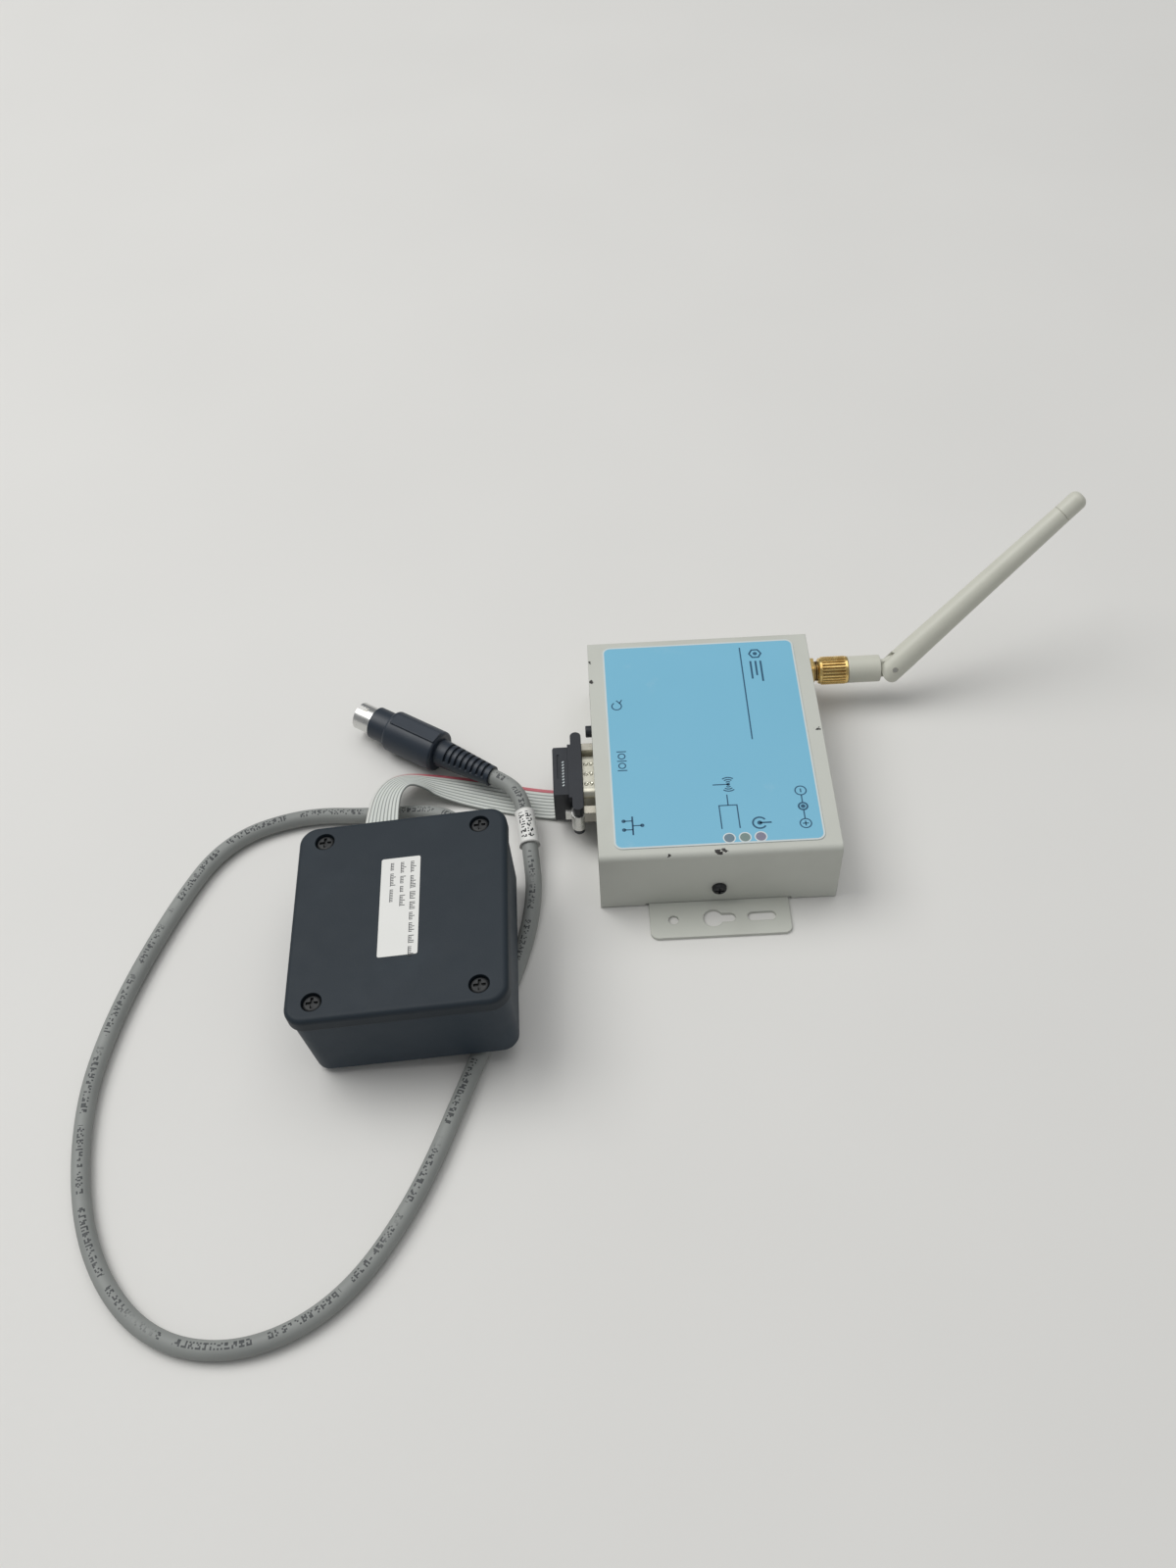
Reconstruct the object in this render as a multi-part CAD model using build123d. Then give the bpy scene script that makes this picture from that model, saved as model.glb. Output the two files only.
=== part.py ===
"""Wireless serial server: case, swivelling antenna, flat lead to an adapter box, cord with a round plug.

Millimetres. The origin is the centre of the case's underside. +X points to the antenna side, -Y to the
status lights and +Z up. Everything stands on the plane z = 0.
"""

import os
from math import cos, hypot, pi, radians, sin, tan

from build123d import *

# Case
case_w = 71.0
case_d = 87.0
case_h = 25.0
sheet = 1.0
cover_lift = 0.3
cover_bend_r = 1.8
cover_gap = 0.1
screw_z = 8.0
screw_shank_r = 1.2
screw_head_r = 2.2
screw_head_h = 1.5
fit_gap = 0.1

# Mounting flanges, one on the near side and one on the far side
flange_w = 42.0
flange_out = 12.5
flange_corner_r = 2.3
flange_hole_y = 6.2
flange_hole_x = -14.0
flange_hole_r = 1.55
keyhole_x = -2.1
keyhole_r = 3.0
keyhole_slot_end = 4.6
flange_slot_x = 12.4
flange_slot_len = 8.6

# Overlay label and status lights
label_margin_x = 4.7
label_margin_y = 3.2
label_t = 0.25
label_corner_r = 2.5
light_r = 1.5
light_x = (2.8, 7.4, 12.0)
light_y_in = 5.3
light_proud = 0.05

# Main board, on standoffs of height board_lift
board_lift = 4.0
board_t = 1.6
board_side_gap = 1.4
board_end_gap = 4.0
post_inset = 4.0
post_share = (-0.62, 0.75)
post_r = 2.5
post_hole_r = 1.3
board_screw_head_r = 2.4
board_screw_head_h = 1.5
solder_gap = 0.3

# Parts on the main board: width, depth and height, and where the middle stands
radio_board_size = (19.0, 22.0, 1.0)
radio_from_wall = 18.0
radio_from_back = 17.5
shield_size = (14.5, 15.5, 2.4)
shield_shift = (-0.75, -1.75)
processor_size = (14.0, 14.0, 1.4)
processor_at = (-2.0, 8.0)
memory_size = (10.0, 7.0, 1.1)
memory_x = -7.0
memory_y = (23.5, 32.5)
capacitor_r = 3.1
capacitor_h = 8.0
capacitor_gap = 1.9
capacitor_spread = 4.0
small_part_edge_r = 0.5
transformer_size = (12.0, 14.0, 5.5)
transformer_x = -7.0
lamp_size = (2.0, 1.6, 1.2)
lamp_gap = 0.4

# Network jack on the left wall
net_from_near = 11.5
net_w = 15.9
net_h = 13.3
net_depth = 15.5
net_mouth_w = 11.8
net_mouth_h = 8.0
net_mouth_depth = 12.5
net_sill = 3.2
net_latch_w = 6.2
net_latch_h = 1.5
net_wires = 8
net_pitch = 1.02
net_wire_w = 0.44
net_wire_t = 0.45
net_wire_gap = 0.15
net_wire_in = 2.0

# Nine-way serial port on the left wall
port_from_net = 27.5
port_flange_w = 30.8
port_flange_h = 12.5
port_screw_pitch = 24.99
port_d_w = 16.9
port_d_h = 8.4
port_d_out = 3.5
port_wall = 0.4
port_d_corner_r = 2.2
port_plate_t = 0.8
port_plate_trim = 1.0
port_block_t = 8.0
port_foot_in = 2.0
port_pin_r = 0.5
port_pin_out = 2.4
port_pin_tail = 1.5
port_row = 1.42
post_hex = 4.75
post_out = 3.6
post_thread_r = 1.4
post_thread_in = 3.0
post_bore_r = 1.15
post_pass_r = 1.6
post_floor = 0.8

# Reset button on the left wall
reset_from_port = 21.0
reset_z = 12.0
reset_r = 1.9
reset_out = 2.0
reset_travel = 0.8
reset_fit = 0.08
reset_back = 0.3
reset_flange_t = 0.8
reset_flange_r = 2.6
reset_stem_in = 2.5
switch_size = (5.0, 6.0)
switch_over = 3.0

# Power jack on the right wall
power_from_near = 13.5
power_w = 9.0
power_h = 11.0
power_depth = 14.0
power_collar_r = 4.2
power_collar_out = 1.3
power_bore_r = 2.8
power_bore_depth = 9.5
power_wall_gap = 0.3
power_pin_r = 1.0
power_pin_short = 0.8

# Antenna connector on the right wall
antenna_from_far = 6.2
barrel_r = 3.2
barrel_out = 9.1
barrel_in = 3.5
barrel_bore_r = 2.3
barrel_bore_from = 4.0
hex_af = 8.0
shoulder_t = 2.3
washer_t = 0.6
washer_r = 4.6
nut_t = 2.3
turn_fit = 0.07
pigtail_r = 0.6
pigtail_turn = (5.0, 3.0, 1.5)
pigtail_drop = 3.8

# Coupling nut and ferrule
coupler_start = 4.3
coupler_len = 9.6
coupler_r = 4.6
coupler_back = 1.5
knurl_count = 26
knurl_r = 0.34
nut_nose = 1.2
nut_nose_step = 0.35
nut_rim = 0.8
nut_rim_step = 0.1
ferrule_neck_r = 2.5
ferrule_head_len = 2.7
joint_gap = 0.2

# Antenna sleeve, hinge and radome
sleeve_r = 4.4
sleeve_len = 10.6
sleeve_socket = 3.4
hinge_drum_r = 4.3
hinge_gap = 0.3
tongue_t = 3.0
tongue_r = 3.8
tongue_gap = 0.15
blade_half = 2.6
sleeve_edge_r = 0.3
hinge_pin_r = 0.9
hinge_fit = 0.05
antenna_bend = 42.0
antenna_roll = 58.0
radome_len = 79.6
radome_r = 4.15
radome_straight = 4.0
radome_bore_start = 10.0
radome_tip_r = 3.15
tip_cap_len = 8.4
tip_round = 0.75
tip_groove = 0.25
spigot_len = 4.0
radome_bore_r = 2.2
feed_r = 0.7
feed_span = (12.0, 42.0)
radiator_r = 1.7
radiator_span = (41.0, 63.0)

# Flat-cable plug that sits on the serial port
plug_body_t = 4.4
plug_cover_w = 18.8
plug_cover_t = 4.7
plug_d_gap = 0.25
plug_cable_slot = 0.6
plug_ear_t = 3.4
plug_front_w = 21.0
plug_screw_r = 1.6
plug_recess = 2.0
plug_contact_r = 0.72
plug_back_edge = 0.4
plug_step_in = 1.4
plug_step_w = 0.6
plug_step_depth = 0.3
clip_t = 0.5
clip_top = 2.6
clip_low = 4.0
clip_tab = 1.8

# Flat cable: nine conductors, from under the plug cover to the adapter box's back wall. Its route, the
# box's corner and the round cord's route are measured from the port's axis at the case's left wall
ribbon_w = 11.43
ribbon_t = 0.9
ribbon_points = [
    ((-10.4, 0.0, 6.0), (0.0, 1.0, 0.0)),
    ((-10.4, 0.0, 4.0), (0.0, 1.0, 0.0)),
    ((-11.5, 0.2, 1.6), (0.1, 1.0, 0.0)),
    ((-14.5, 0.8, 0.7), (0.2, 0.98, 0.0)),
    ((-26.0, 3.4, 0.6), (0.2, 0.98, 0.0)),
    ((-39.5, 7.4, 0.8), (0.15, 0.99, 0.0)),
    ((-50.0, 9.2, 2.8), (0.0, 0.98, -0.2)),
    ((-56.5, 9.3, 6.2), (-0.2, 0.89, -0.42)),
    ((-61.8, 6.9, 9.1), (-0.45, 0.75, -0.48)),
    ((-65.1, 0.9, 10.5), (-0.72, 0.53, -0.43)),
    ((-66.1, -7.5, 10.8), (-0.9, 0.25, -0.34)),
    ((-66.2, -17.5, 10.6), (-0.98, 0.06, -0.17)),
    ((-66.1, -31.1, 10.5), (-0.995, 0.0, -0.096)),
]

# Adapter box, tilted because the round cord runs under its near right corner
box_w = 61.0
box_d = 66.0
box_h = 29.0
box_lean = 5.5
box_pitch = -1.5
box_yaw = 0.6
box_corner = (-83.5, -91.7, 1.55)
box_wall = 2.0
box_draft = 0.9
lid_t = 4.5
lid_overhang = 0.8
lid_corner_r = 5.5
lid_edge_r = 1.6
lid_screw_x = 7.8
lid_screw_y = 6.0
lid_sink_r = 2.9
lid_sink_depth = 2.0
lid_screw_head_r = 2.6
lid_screw_r = 1.4
boss_r = 3.2
sticker_x = 25.1
sticker_w = 11.2
sticker_y = 17.7
sticker_d = 33.2
sticker_t = 0.15
sticker_corner_r = 0.6
adapter_lift = 3.0
adapter_margin = (9.0, 7.0)
adapter_shift = -4.0
spacer_r = 2.2
spacer_spread = (14.0, 20.0)
header_size = (12.33, 6.0, 4.4)
header_gap = 0.25

# Round cord and its plug
cord_r = 2.5
cord_points = [
    (-40.5, -24.0, 10.2),
    (-40.5, -17.0, 10.2),
    (-43.1, -9.9, 8.2),
    (-48.4, -4.5, 5.6),
    (-56.0, -1.7, 3.4),
    (-69.5, -1.5, 2.5),
    (-93.0, 0.3, 2.5),
    (-116.5, -9.0, 2.5),
    (-130.0, -35.5, 2.5),
    (-142.0, -70.5, 2.5),
    (-146.0, -101.5, 2.5),
    (-139.0, -137.5, 2.5),
    (-120.5, -162.0, 2.5),
    (-95.5, -167.5, 2.5),
    (-71.0, -156.5, 2.5),
    (-52.5, -130.0, 2.5),
    (-38.8, -94.5, 2.5),
    (-24.0, -57.5, 2.5),
    (-19.5, -35.5, 3.2),
    (-20.7, -19.5, 5.2),
    (-22.1, -6.2, 6.8),
    (-23.9, 0.5, 7.2),
    (-27.4, 5.4, 7.0),
    (-32.4, 8.7, 7.0),
]
grommet_r = 4.0
grommet_flange_r = 5.2
grommet_len = 8.0
grommet_flange_t = 1.2
marker_from = 0.936
marker_to = 0.962
marker_t = 0.5

din_tail_r = 3.3
din_relief_len = 20.0
din_relief_r = 4.6
din_relief_ribs = 8
din_web_w = 3.0
din_rib_share = 0.42
din_edge_r = 1.0
din_spine = (17.0, 4.4, 2.4)
din_spine_sunk = 0.9
din_socket = 4.0
din_fit = 0.03
din_body_len = 19.0
din_body_r = 6.8
din_collar_len = 6.5
din_collar_r = 5.4
din_shell_len = 6.5
din_shell_r = 4.5
din_shell_wall = 0.4
din_pins = 6
din_pin_r = 0.35
din_pin_ring_r = 2.3
din_pin_floor = 3.4

half_w = case_w / 2
half_d = case_d / 2
port_pitch = port_d_w / 6.1
wall_in = half_w - sheet
net_y = -half_d + net_from_near
port_y = net_y + port_from_net
reset_y = port_y + reset_from_port
power_y = -half_d + power_from_near
antenna_y = half_d - antenna_from_far
antenna_z = case_h / 2
board_z = sheet + board_lift
board_top = board_z + board_t
port_z = board_top + port_flange_h / 2 - port_plate_trim / 2
cover_in = half_d - sheet
tongue_space = tongue_t / 2 + tongue_gap


def from_port(point):
    """A point given from the port's axis at the left wall, with its height above the table."""
    return point[0] - half_w, point[1] + port_y, point[2]


ribbon_route = [(from_port(point), across) for point, across in ribbon_points]
cord_route = [from_port(point) for point in cord_points]


def block(x0, x1, y0, y1, z0, z1):
    """A box between two corners."""
    return Pos((x0 + x1) / 2, (y0 + y1) / 2, (z0 + z1) / 2) * Box(abs(x1 - x0), abs(y1 - y0), abs(z1 - z0))


def rod_x(x0, x1, y, z, r):
    """A cylinder along X."""
    return Pos((x0 + x1) / 2, y, z) * Rot(0, 90, 0) * Cylinder(r, abs(x1 - x0))


def rod_y(y0, y1, x, z, r):
    """A cylinder along Y."""
    return Pos(x, (y0 + y1) / 2, z) * Rot(90, 0, 0) * Cylinder(r, abs(y1 - y0))


def rod_z(z0, z1, x, y, r):
    """A cylinder along Z."""
    return Pos(x, y, (z0 + z1) / 2) * Cylinder(r, abs(z1 - z0))


def along(s0, s1, r):
    """A cylinder on the X axis between two distances, for a piece that is placed afterwards."""
    return Pos((s0 + s1) / 2, 0, 0) * Rot(0, 90, 0) * Cylinder(r, s1 - s0)


def hex_x(x0, x1, y, z, across):
    """A hexagonal prism along X."""
    plane = Plane((x0, y, z), x_dir=(0, 1, 0), z_dir=(1, 0, 0))
    flat = plane * RegularPolygon(across / 2, 6, major_radius=False)
    return extrude(flat, amount=x1 - x0)


def rounded(w, d, h, r):
    """A block centred on the Z axis, standing on z = 0, with rounded upright edges."""
    return extrude(RectangleRounded(w, d, r), amount=h)


def cross_slot(r, depth):
    """The cross recess of a screw head, centred on the origin and open towards +Z."""
    arm = r * 0.32
    return Box(r * 1.3, arm, depth) + Box(arm, r * 1.3, depth)


def pan_screw(head_r, head_h, shank_r, shank_len):
    """A screw that points down, with the underside of its head at z = 0."""
    head = Cylinder(head_r, head_h, align=(Align.CENTER, Align.CENTER, Align.MIN))
    head = fillet(head.edges().filter_by(GeomType.CIRCLE).sort_by(Axis.Z)[-1], head_h * 0.6)
    shank = Cylinder(shank_r, shank_len, align=(Align.CENTER, Align.CENTER, Align.MAX))
    return head + shank - Pos(0, 0, head_h) * cross_slot(head_r, head_h)


def d_face(x, y, z, w, h, r):
    """A D-shaped face at x, wide side up, with ten-degree ends."""
    slant = h * tan(radians(10))
    corners = [(-w / 2, h / 2), (w / 2, h / 2), (w / 2 - slant, -h / 2), (-w / 2 + slant, -h / 2)]
    shape = make_face(Polyline(*corners, close=True))
    shape = fillet(shape.vertices(), r)
    return Plane((x, y, z), x_dir=(0, 1, 0), z_dir=(1, 0, 0)) * shape


def pin_spots(y, z):
    """The nine contact places of the serial port: five above and four below."""
    high = [(y + (i - 2) * port_pitch, z + port_row) for i in range(5)]
    low = [(y + (i - 1.5) * port_pitch, z - port_row) for i in range(4)]
    return high + low


# ---------------------------------------------------------------- case


def flange(side):
    """One mounting flange with a round hole, a keyhole and a slot; side is -1 near, +1 far."""
    reach = flange_out + sheet
    plate = RectangleRounded(flange_w, 2 * reach, flange_corner_r)
    plate = plate & Pos(0, side * reach / 2) * Rectangle(flange_w, reach)
    y = side * (sheet + flange_hole_y)
    plate -= Pos(flange_hole_x, y) * Circle(flange_hole_r)
    plate -= Pos(keyhole_x, y) * Circle(keyhole_r)
    neck = keyhole_slot_end - keyhole_x
    plate -= Pos(keyhole_x + neck / 2, y) * SlotOverall(neck, 2 * flange_hole_r)
    plate -= Pos(flange_slot_x, y) * SlotOverall(flange_slot_len, 2 * flange_hole_r)
    return extrude(Pos(0, side * (half_d - sheet)) * plate, amount=sheet)


def chassis():
    """Bottom plate with left and right walls, two screw tabs and two flanges."""
    end = cover_in - cover_gap
    body = block(-half_w, half_w, -end, end, 0, sheet)
    wall = Rectangle(2 * end, 2 * (case_h - sheet))
    wall = fillet(wall.vertices().group_by(Axis.Y)[-1], cover_bend_r - sheet + cover_gap)
    wall &= Pos(0, case_h / 2) * Rectangle(2 * end, case_h)
    for side in (-1, 1):
        foot = min(side * half_w, side * wall_in)
        body += extrude(Plane((foot, 0, 0), x_dir=(0, 1, 0), z_dir=(1, 0, 0)) * wall, amount=sheet)
        body += block(-6, 6, side * end, side * (end - sheet), 0, screw_z + 4)
        body += flange(side)
        body += block(-flange_w / 2, flange_w / 2, side * end, side * (cover_in + 0.01), 0, sheet)
        body -= rod_y(side * (end - 2 * sheet), side * (end + 0.5), 0, screw_z, screw_shank_r + 0.05)
    body -= block(-half_w - 1, -wall_in + 1, net_y - net_w / 2 - fit_gap, net_y + net_w / 2 + fit_gap,
                  board_top - fit_gap, board_top + net_h + fit_gap)
    opening = d_face(-half_w - 1, port_y, port_z, port_d_w + 0.4, port_d_h + 0.4, port_d_corner_r + 0.2)
    body -= extrude(opening, amount=sheet + 2)
    for side in (-1, 1):
        body -= rod_x(-half_w - 1, -wall_in + 1, port_y + side * port_screw_pitch / 2, port_z, 1.6)
    body -= rod_x(-half_w - 1, -wall_in + 1, reset_y, reset_z, reset_r + reset_fit)
    body -= rod_x(wall_in - 1, half_w + 1, power_y, power_axis_z(), power_collar_r + fit_gap)
    body -= rod_x(wall_in - 1, half_w + 1, antenna_y, antenna_z, barrel_r + fit_gap)
    for x, y in post_places():
        body -= rod_z(-1, sheet + 1, x, y, post_hole_r)
    return body


def top_cover():
    """U-shaped cover: the top and the near and far sides, notched where the flanges leave."""
    outer = Rectangle(case_d, 2 * case_h)
    outer = fillet(outer.vertices().group_by(Axis.Y)[-1], cover_bend_r)
    inner = Rectangle(case_d - 2 * sheet, 2 * (case_h - sheet))
    inner = fillet(inner.vertices().group_by(Axis.Y)[-1], cover_bend_r - sheet)
    shape = (outer - inner) & Pos(0, (case_h + cover_lift) / 2) * Rectangle(case_d, case_h - cover_lift)
    plane = Plane((-half_w, 0, 0), x_dir=(0, 1, 0), z_dir=(1, 0, 0))
    cover = extrude(plane * shape, amount=case_w)
    for side in (-1, 1):
        cover -= rod_y(side * (cover_in - 1), side * (half_d + 1), 0, screw_z, screw_shank_r + fit_gap)
        cover -= block(-flange_w / 2 - 1, flange_w / 2 + 1, side * (cover_in - 0.5), side * (half_d + 1),
                       0, sheet + 0.2)
    for x in light_x:
        cover -= rod_z(case_h - 2, case_h + 1, x, light_y(), light_r)
    return cover


def light_y():
    """The row of status lights, measured in from the near face."""
    return -half_d + light_y_in


def overlay_label():
    """Printed film on the cover, with a window for each status light."""
    film = rounded(case_w - 2 * label_margin_x, case_d - 2 * label_margin_y, label_t, label_corner_r)
    film = Pos(0, 0, case_h) * film
    for x in light_x:
        film -= rod_z(case_h - 1, case_h + 1, x, light_y(), light_r)
    return film


def cover_screws():
    """One pan-head screw in the near side and one in the far side."""
    screw = pan_screw(screw_head_r, screw_head_h, screw_shank_r, 5.0)
    near = Pos(0, -half_d, screw_z) * Rot(90, 0, 0) * screw
    far = Pos(0, half_d, screw_z) * Rot(-90, 0, 0) * screw
    return Compound([near, far])


# ---------------------------------------------------------------- inside the case


def post_places():
    """The four standoffs, in from the board's sides and clear of the sockets along them."""
    x = wall_in - board_side_gap - post_inset
    y = cover_in - board_end_gap - post_inset
    return [(side * x, share * y) for side in (-1, 1) for share in post_share]


def board_standoffs():
    posts = [rod_z(sheet, board_z, x, y, post_r) - rod_z(0, case_h, x, y, post_hole_r)
             for x, y in post_places()]
    return Compound(posts)


def main_board():
    """The board, with a hole over each standoff."""
    x = wall_in - board_side_gap
    y = cover_in - board_end_gap
    board = block(-x, x, -y, y, board_z, board_top)
    for px, py in post_places():
        board -= rod_z(0, case_h, px, py, post_hole_r + fit_gap)
    return board


def board_screws():
    reach = board_t + board_lift - 0.4
    screw = pan_screw(board_screw_head_r, board_screw_head_h, post_hole_r - fit_gap, reach)
    return Compound([Pos(x, y, board_top) * screw for x, y in post_places()])


def on_board(size, x, y, z):
    """A block of a size whose base is centred on a point."""
    return Pos(x, y, z) * Box(*size, align=(Align.CENTER, Align.CENTER, Align.MIN))


def radio_middle():
    """The radio board's place, beside the antenna connector."""
    return wall_in - radio_from_wall, cover_in - radio_from_back


def radio_board():
    """The radio daughterboard."""
    return on_board(radio_board_size, *radio_middle(), board_top)


def radio_shield():
    """Pressed shield can on the radio board."""
    x, y = radio_middle()
    can = on_board(shield_size, x + shield_shift[0], y + shield_shift[1], board_top + radio_board_size[2])
    return fillet(can.edges().filter_by(Axis.Z) + can.edges().group_by(Axis.Z)[-1], small_part_edge_r)


def processor_chip():
    chip = on_board(processor_size, *processor_at, board_top)
    return chamfer(chip.edges().group_by(Axis.Z)[-1], solder_gap)


def memory_chips():
    return Compound([on_board(memory_size, memory_x, y, board_top) for y in memory_y])


def capacitors():
    """Three electrolytic cans beside the power jack."""
    x = wall_in - power_depth - capacitor_gap - capacitor_r
    places = [(x, power_y + capacitor_spread + 1.5), (x, power_y - capacitor_spread + 1.5),
              (x - 2 * capacitor_r - 2.3, power_y + 2 * capacitor_spread)]
    cans = [rod_z(board_top, board_top + capacitor_h, px, py, capacitor_r) for px, py in places]
    return Compound([fillet(can.edges().group_by(Axis.Z)[-1], small_part_edge_r) for can in cans])


def line_transformer():
    block_shape = on_board(transformer_size, transformer_x, net_y + 1, board_top)
    return fillet(block_shape.edges().filter_by(Axis.Z), small_part_edge_r)


def ethernet_jack():
    """Eight-way network jack, its mouth flush with the left wall, latch slot at the bottom."""
    x0 = -half_w
    z0 = board_top
    jack = block(x0, x0 + net_depth, net_y - net_w / 2, net_y + net_w / 2, z0, z0 + net_h)
    mouth_z = z0 + net_sill
    jack -= block(x0 - 1, x0 + net_mouth_depth, net_y - net_mouth_w / 2, net_y + net_mouth_w / 2,
                  mouth_z, mouth_z + net_mouth_h)
    jack -= block(x0 - 1, x0 + net_mouth_depth, net_y - net_latch_w / 2, net_y + net_latch_w / 2,
                  mouth_z - net_latch_h, mouth_z + 1)
    return jack


def ethernet_contacts():
    """Eight spring wires along the roof of the jack's mouth."""
    top = board_top + net_sill + net_mouth_h - net_wire_gap
    x0 = -half_w + net_wire_in
    wires = []
    for i in range(net_wires):
        y = net_y + (i - (net_wires - 1) / 2) * net_pitch
        wires.append(block(x0, -half_w + net_mouth_depth, y - net_wire_w / 2, y + net_wire_w / 2,
                           top - net_wire_t, top))
    return Compound(wires)


def port_screws():
    """The two jack post places."""
    return [port_y + side * port_screw_pitch / 2 for side in (-1, 1)]


def serial_port_shell():
    """Flange plate behind the left wall and the D-shaped metal shell that stands out through it."""
    x = -wall_in
    half_h = port_flange_h / 2 - port_plate_trim
    plate = block(x, x + port_plate_t, port_y - port_flange_w / 2, port_y + port_flange_w / 2,
                  port_z - half_h, port_z + half_h)
    outer = extrude(d_face(-half_w - port_d_out, port_y, port_z, port_d_w, port_d_h, port_d_corner_r),
                    amount=port_d_out + sheet + port_plate_t)
    inner = extrude(d_face(-half_w - port_d_out - 1, port_y, port_z, port_d_w - 2 * port_wall,
                           port_d_h - 2 * port_wall, port_d_corner_r - port_wall),
                    amount=port_d_out + sheet + port_plate_t + 2)
    shell = plate + outer - inner
    for y in port_screws():
        shell -= rod_x(x - 1, x + port_plate_t + 1, y, port_z, post_pass_r)
    return shell


def serial_port_body():
    """Insulating block behind the port's flange plate, standing on the board."""
    x = -wall_in + port_plate_t
    near, far = port_y - port_d_w / 2, port_y + port_d_w / 2
    low, high = port_z - port_d_h / 2, port_z + port_d_h / 2
    body = block(x, x + port_block_t, near, far, low, high)
    body += block(x + port_foot_in, x + port_block_t, near, far, board_top, high)
    for y, z in pin_spots(port_y, port_z):
        body -= rod_x(x - 1, x + port_block_t + 1, y, z, port_pin_r)
    return body


def serial_port_pins():
    end = -wall_in + port_plate_t + port_block_t + port_pin_tail - port_plate_t
    start = -half_w - port_pin_out
    return Compound([rod_x(start, end, y, z, port_pin_r) for y, z in pin_spots(port_y, port_z)])


def jack_posts():
    """Two hexagonal jack posts that hold the port to the wall, with threaded ends inside."""
    posts = []
    for y in port_screws():
        post = hex_x(-half_w - post_out, -half_w, y, port_z, post_hex)
        post += rod_x(-half_w - 0.1, -wall_in + post_thread_in, y, port_z, post_thread_r)
        posts.append(post - rod_x(-half_w - post_out - 1, -half_w - post_floor, y, port_z, post_bore_r))
    return Compound(posts)


def power_axis_z():
    return board_top + power_h / 2


def power_jack():
    """Coaxial power jack: a block on the board with a round collar through the right wall."""
    z = power_axis_z()
    near, far = power_y - power_w / 2, power_y + power_w / 2
    body = block(wall_in - power_depth, wall_in - power_wall_gap, near, far,
                 board_top, board_top + power_h)
    body += rod_x(wall_in - 1, half_w + power_collar_out, power_y, z, power_collar_r)
    mouth = half_w + power_collar_out
    return body - rod_x(mouth - power_bore_depth, mouth + 1, power_y, z, power_bore_r)


def power_jack_pin():
    mouth = half_w + power_collar_out
    pin = rod_x(mouth - power_bore_depth, mouth - power_pin_short, power_y, power_axis_z(), power_pin_r)
    return fillet(pin.edges().filter_by(GeomType.CIRCLE).sort_by(Axis.X)[-1], power_pin_r * 0.4)


def reset_switch():
    """Right-angle tact switch behind the reset button."""
    x0 = -half_w + reset_stem_in + reset_travel + 0.2
    return block(x0, x0 + switch_size[0], reset_y - switch_size[1] / 2, reset_y + switch_size[1] / 2,
                 board_top, reset_z + switch_over)


def reset_button():
    """Round button that slides in its hole, kept in by a flange behind the wall."""
    stem = rod_x(-half_w - reset_out, -half_w + reset_stem_in, reset_y, reset_z, reset_r)
    stem = fillet(stem.edges().filter_by(GeomType.CIRCLE).sort_by(Axis.X)[0], reset_r * 0.2)
    back = -wall_in + reset_back
    return stem + rod_x(back, back + reset_flange_t, reset_y, reset_z, reset_flange_r)


def status_leds():
    return Compound([on_board(lamp_size, x, light_y(), board_top) for x in light_x])


def light_pipes():
    """Three clear pipes from the lamps to the overlay's windows."""
    top = case_h + label_t + light_proud
    foot = board_top + lamp_size[2] + lamp_gap
    return Compound([rod_z(foot, top, x, light_y(), light_r) for x in light_x])


# ---------------------------------------------------------------- antenna connector


def antenna_bulkhead():
    """Threaded bulkhead barrel through the right wall, with a hexagonal shoulder inside."""
    barrel = rod_x(wall_in - barrel_in, half_w + barrel_out, antenna_y, antenna_z, barrel_r)
    barrel += hex_x(wall_in - shoulder_t, wall_in, antenna_y, antenna_z, hex_af)
    mouth = half_w + barrel_out + 1
    return barrel - rod_x(half_w + barrel_bore_from, mouth, antenna_y, antenna_z, barrel_bore_r)


def bulkhead_washer():
    ring = rod_x(half_w, half_w + washer_t, antenna_y, antenna_z, washer_r)
    return ring - rod_x(half_w - 1, half_w + washer_t + 1, antenna_y, antenna_z, barrel_r + fit_gap)


def bulkhead_nut():
    x0 = half_w + washer_t
    nut = hex_x(x0, x0 + nut_t, antenna_y, antenna_z, hex_af)
    nut &= rod_x(x0, x0 + nut_t, antenna_y, antenna_z, hex_af / 2 * 1.1)
    return nut - rod_x(x0 - 1, x0 + nut_t + 1, antenna_y, antenna_z, barrel_r + 0.05)


def bent_tube(points, r):
    """A round tube along straight runs joined by the largest tangent arcs the runs allow."""
    radii = []
    for before, here, after in zip(points, points[1:], points[2:]):
        a = Vector(*here) - Vector(*before)
        b = Vector(*after) - Vector(*here)
        shorter = min(a.length, b.length)
        radii.append(0.45 * shorter / tan(radians(a.get_angle(b)) / 2))
    path = FilletPolyline(*points, radius=radii)
    start = Vector(*points[1]) - Vector(*points[0])
    section = Plane(origin=points[0], z_dir=start) * Circle(r)
    return path, sweep(section, path=path), radii


def antenna_pigtail():
    """Thin coaxial lead from the bulkhead down to the radio board, held at both ends."""
    start = Vector(wall_in - barrel_in, antenna_y, antenna_z)
    straight, turn, drop = pigtail_turn
    corner = start - Vector(straight, 0, 0)
    bend_end = corner - Vector(turn, turn, drop)
    foot = Vector(bend_end.X, antenna_y - pigtail_drop, board_top + radio_board_size[2] + 0.9)
    return bent_tube([tuple(point) for point in (start, corner, bend_end, foot)], pigtail_r)[1]


# ---------------------------------------------------------------- antenna

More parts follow.
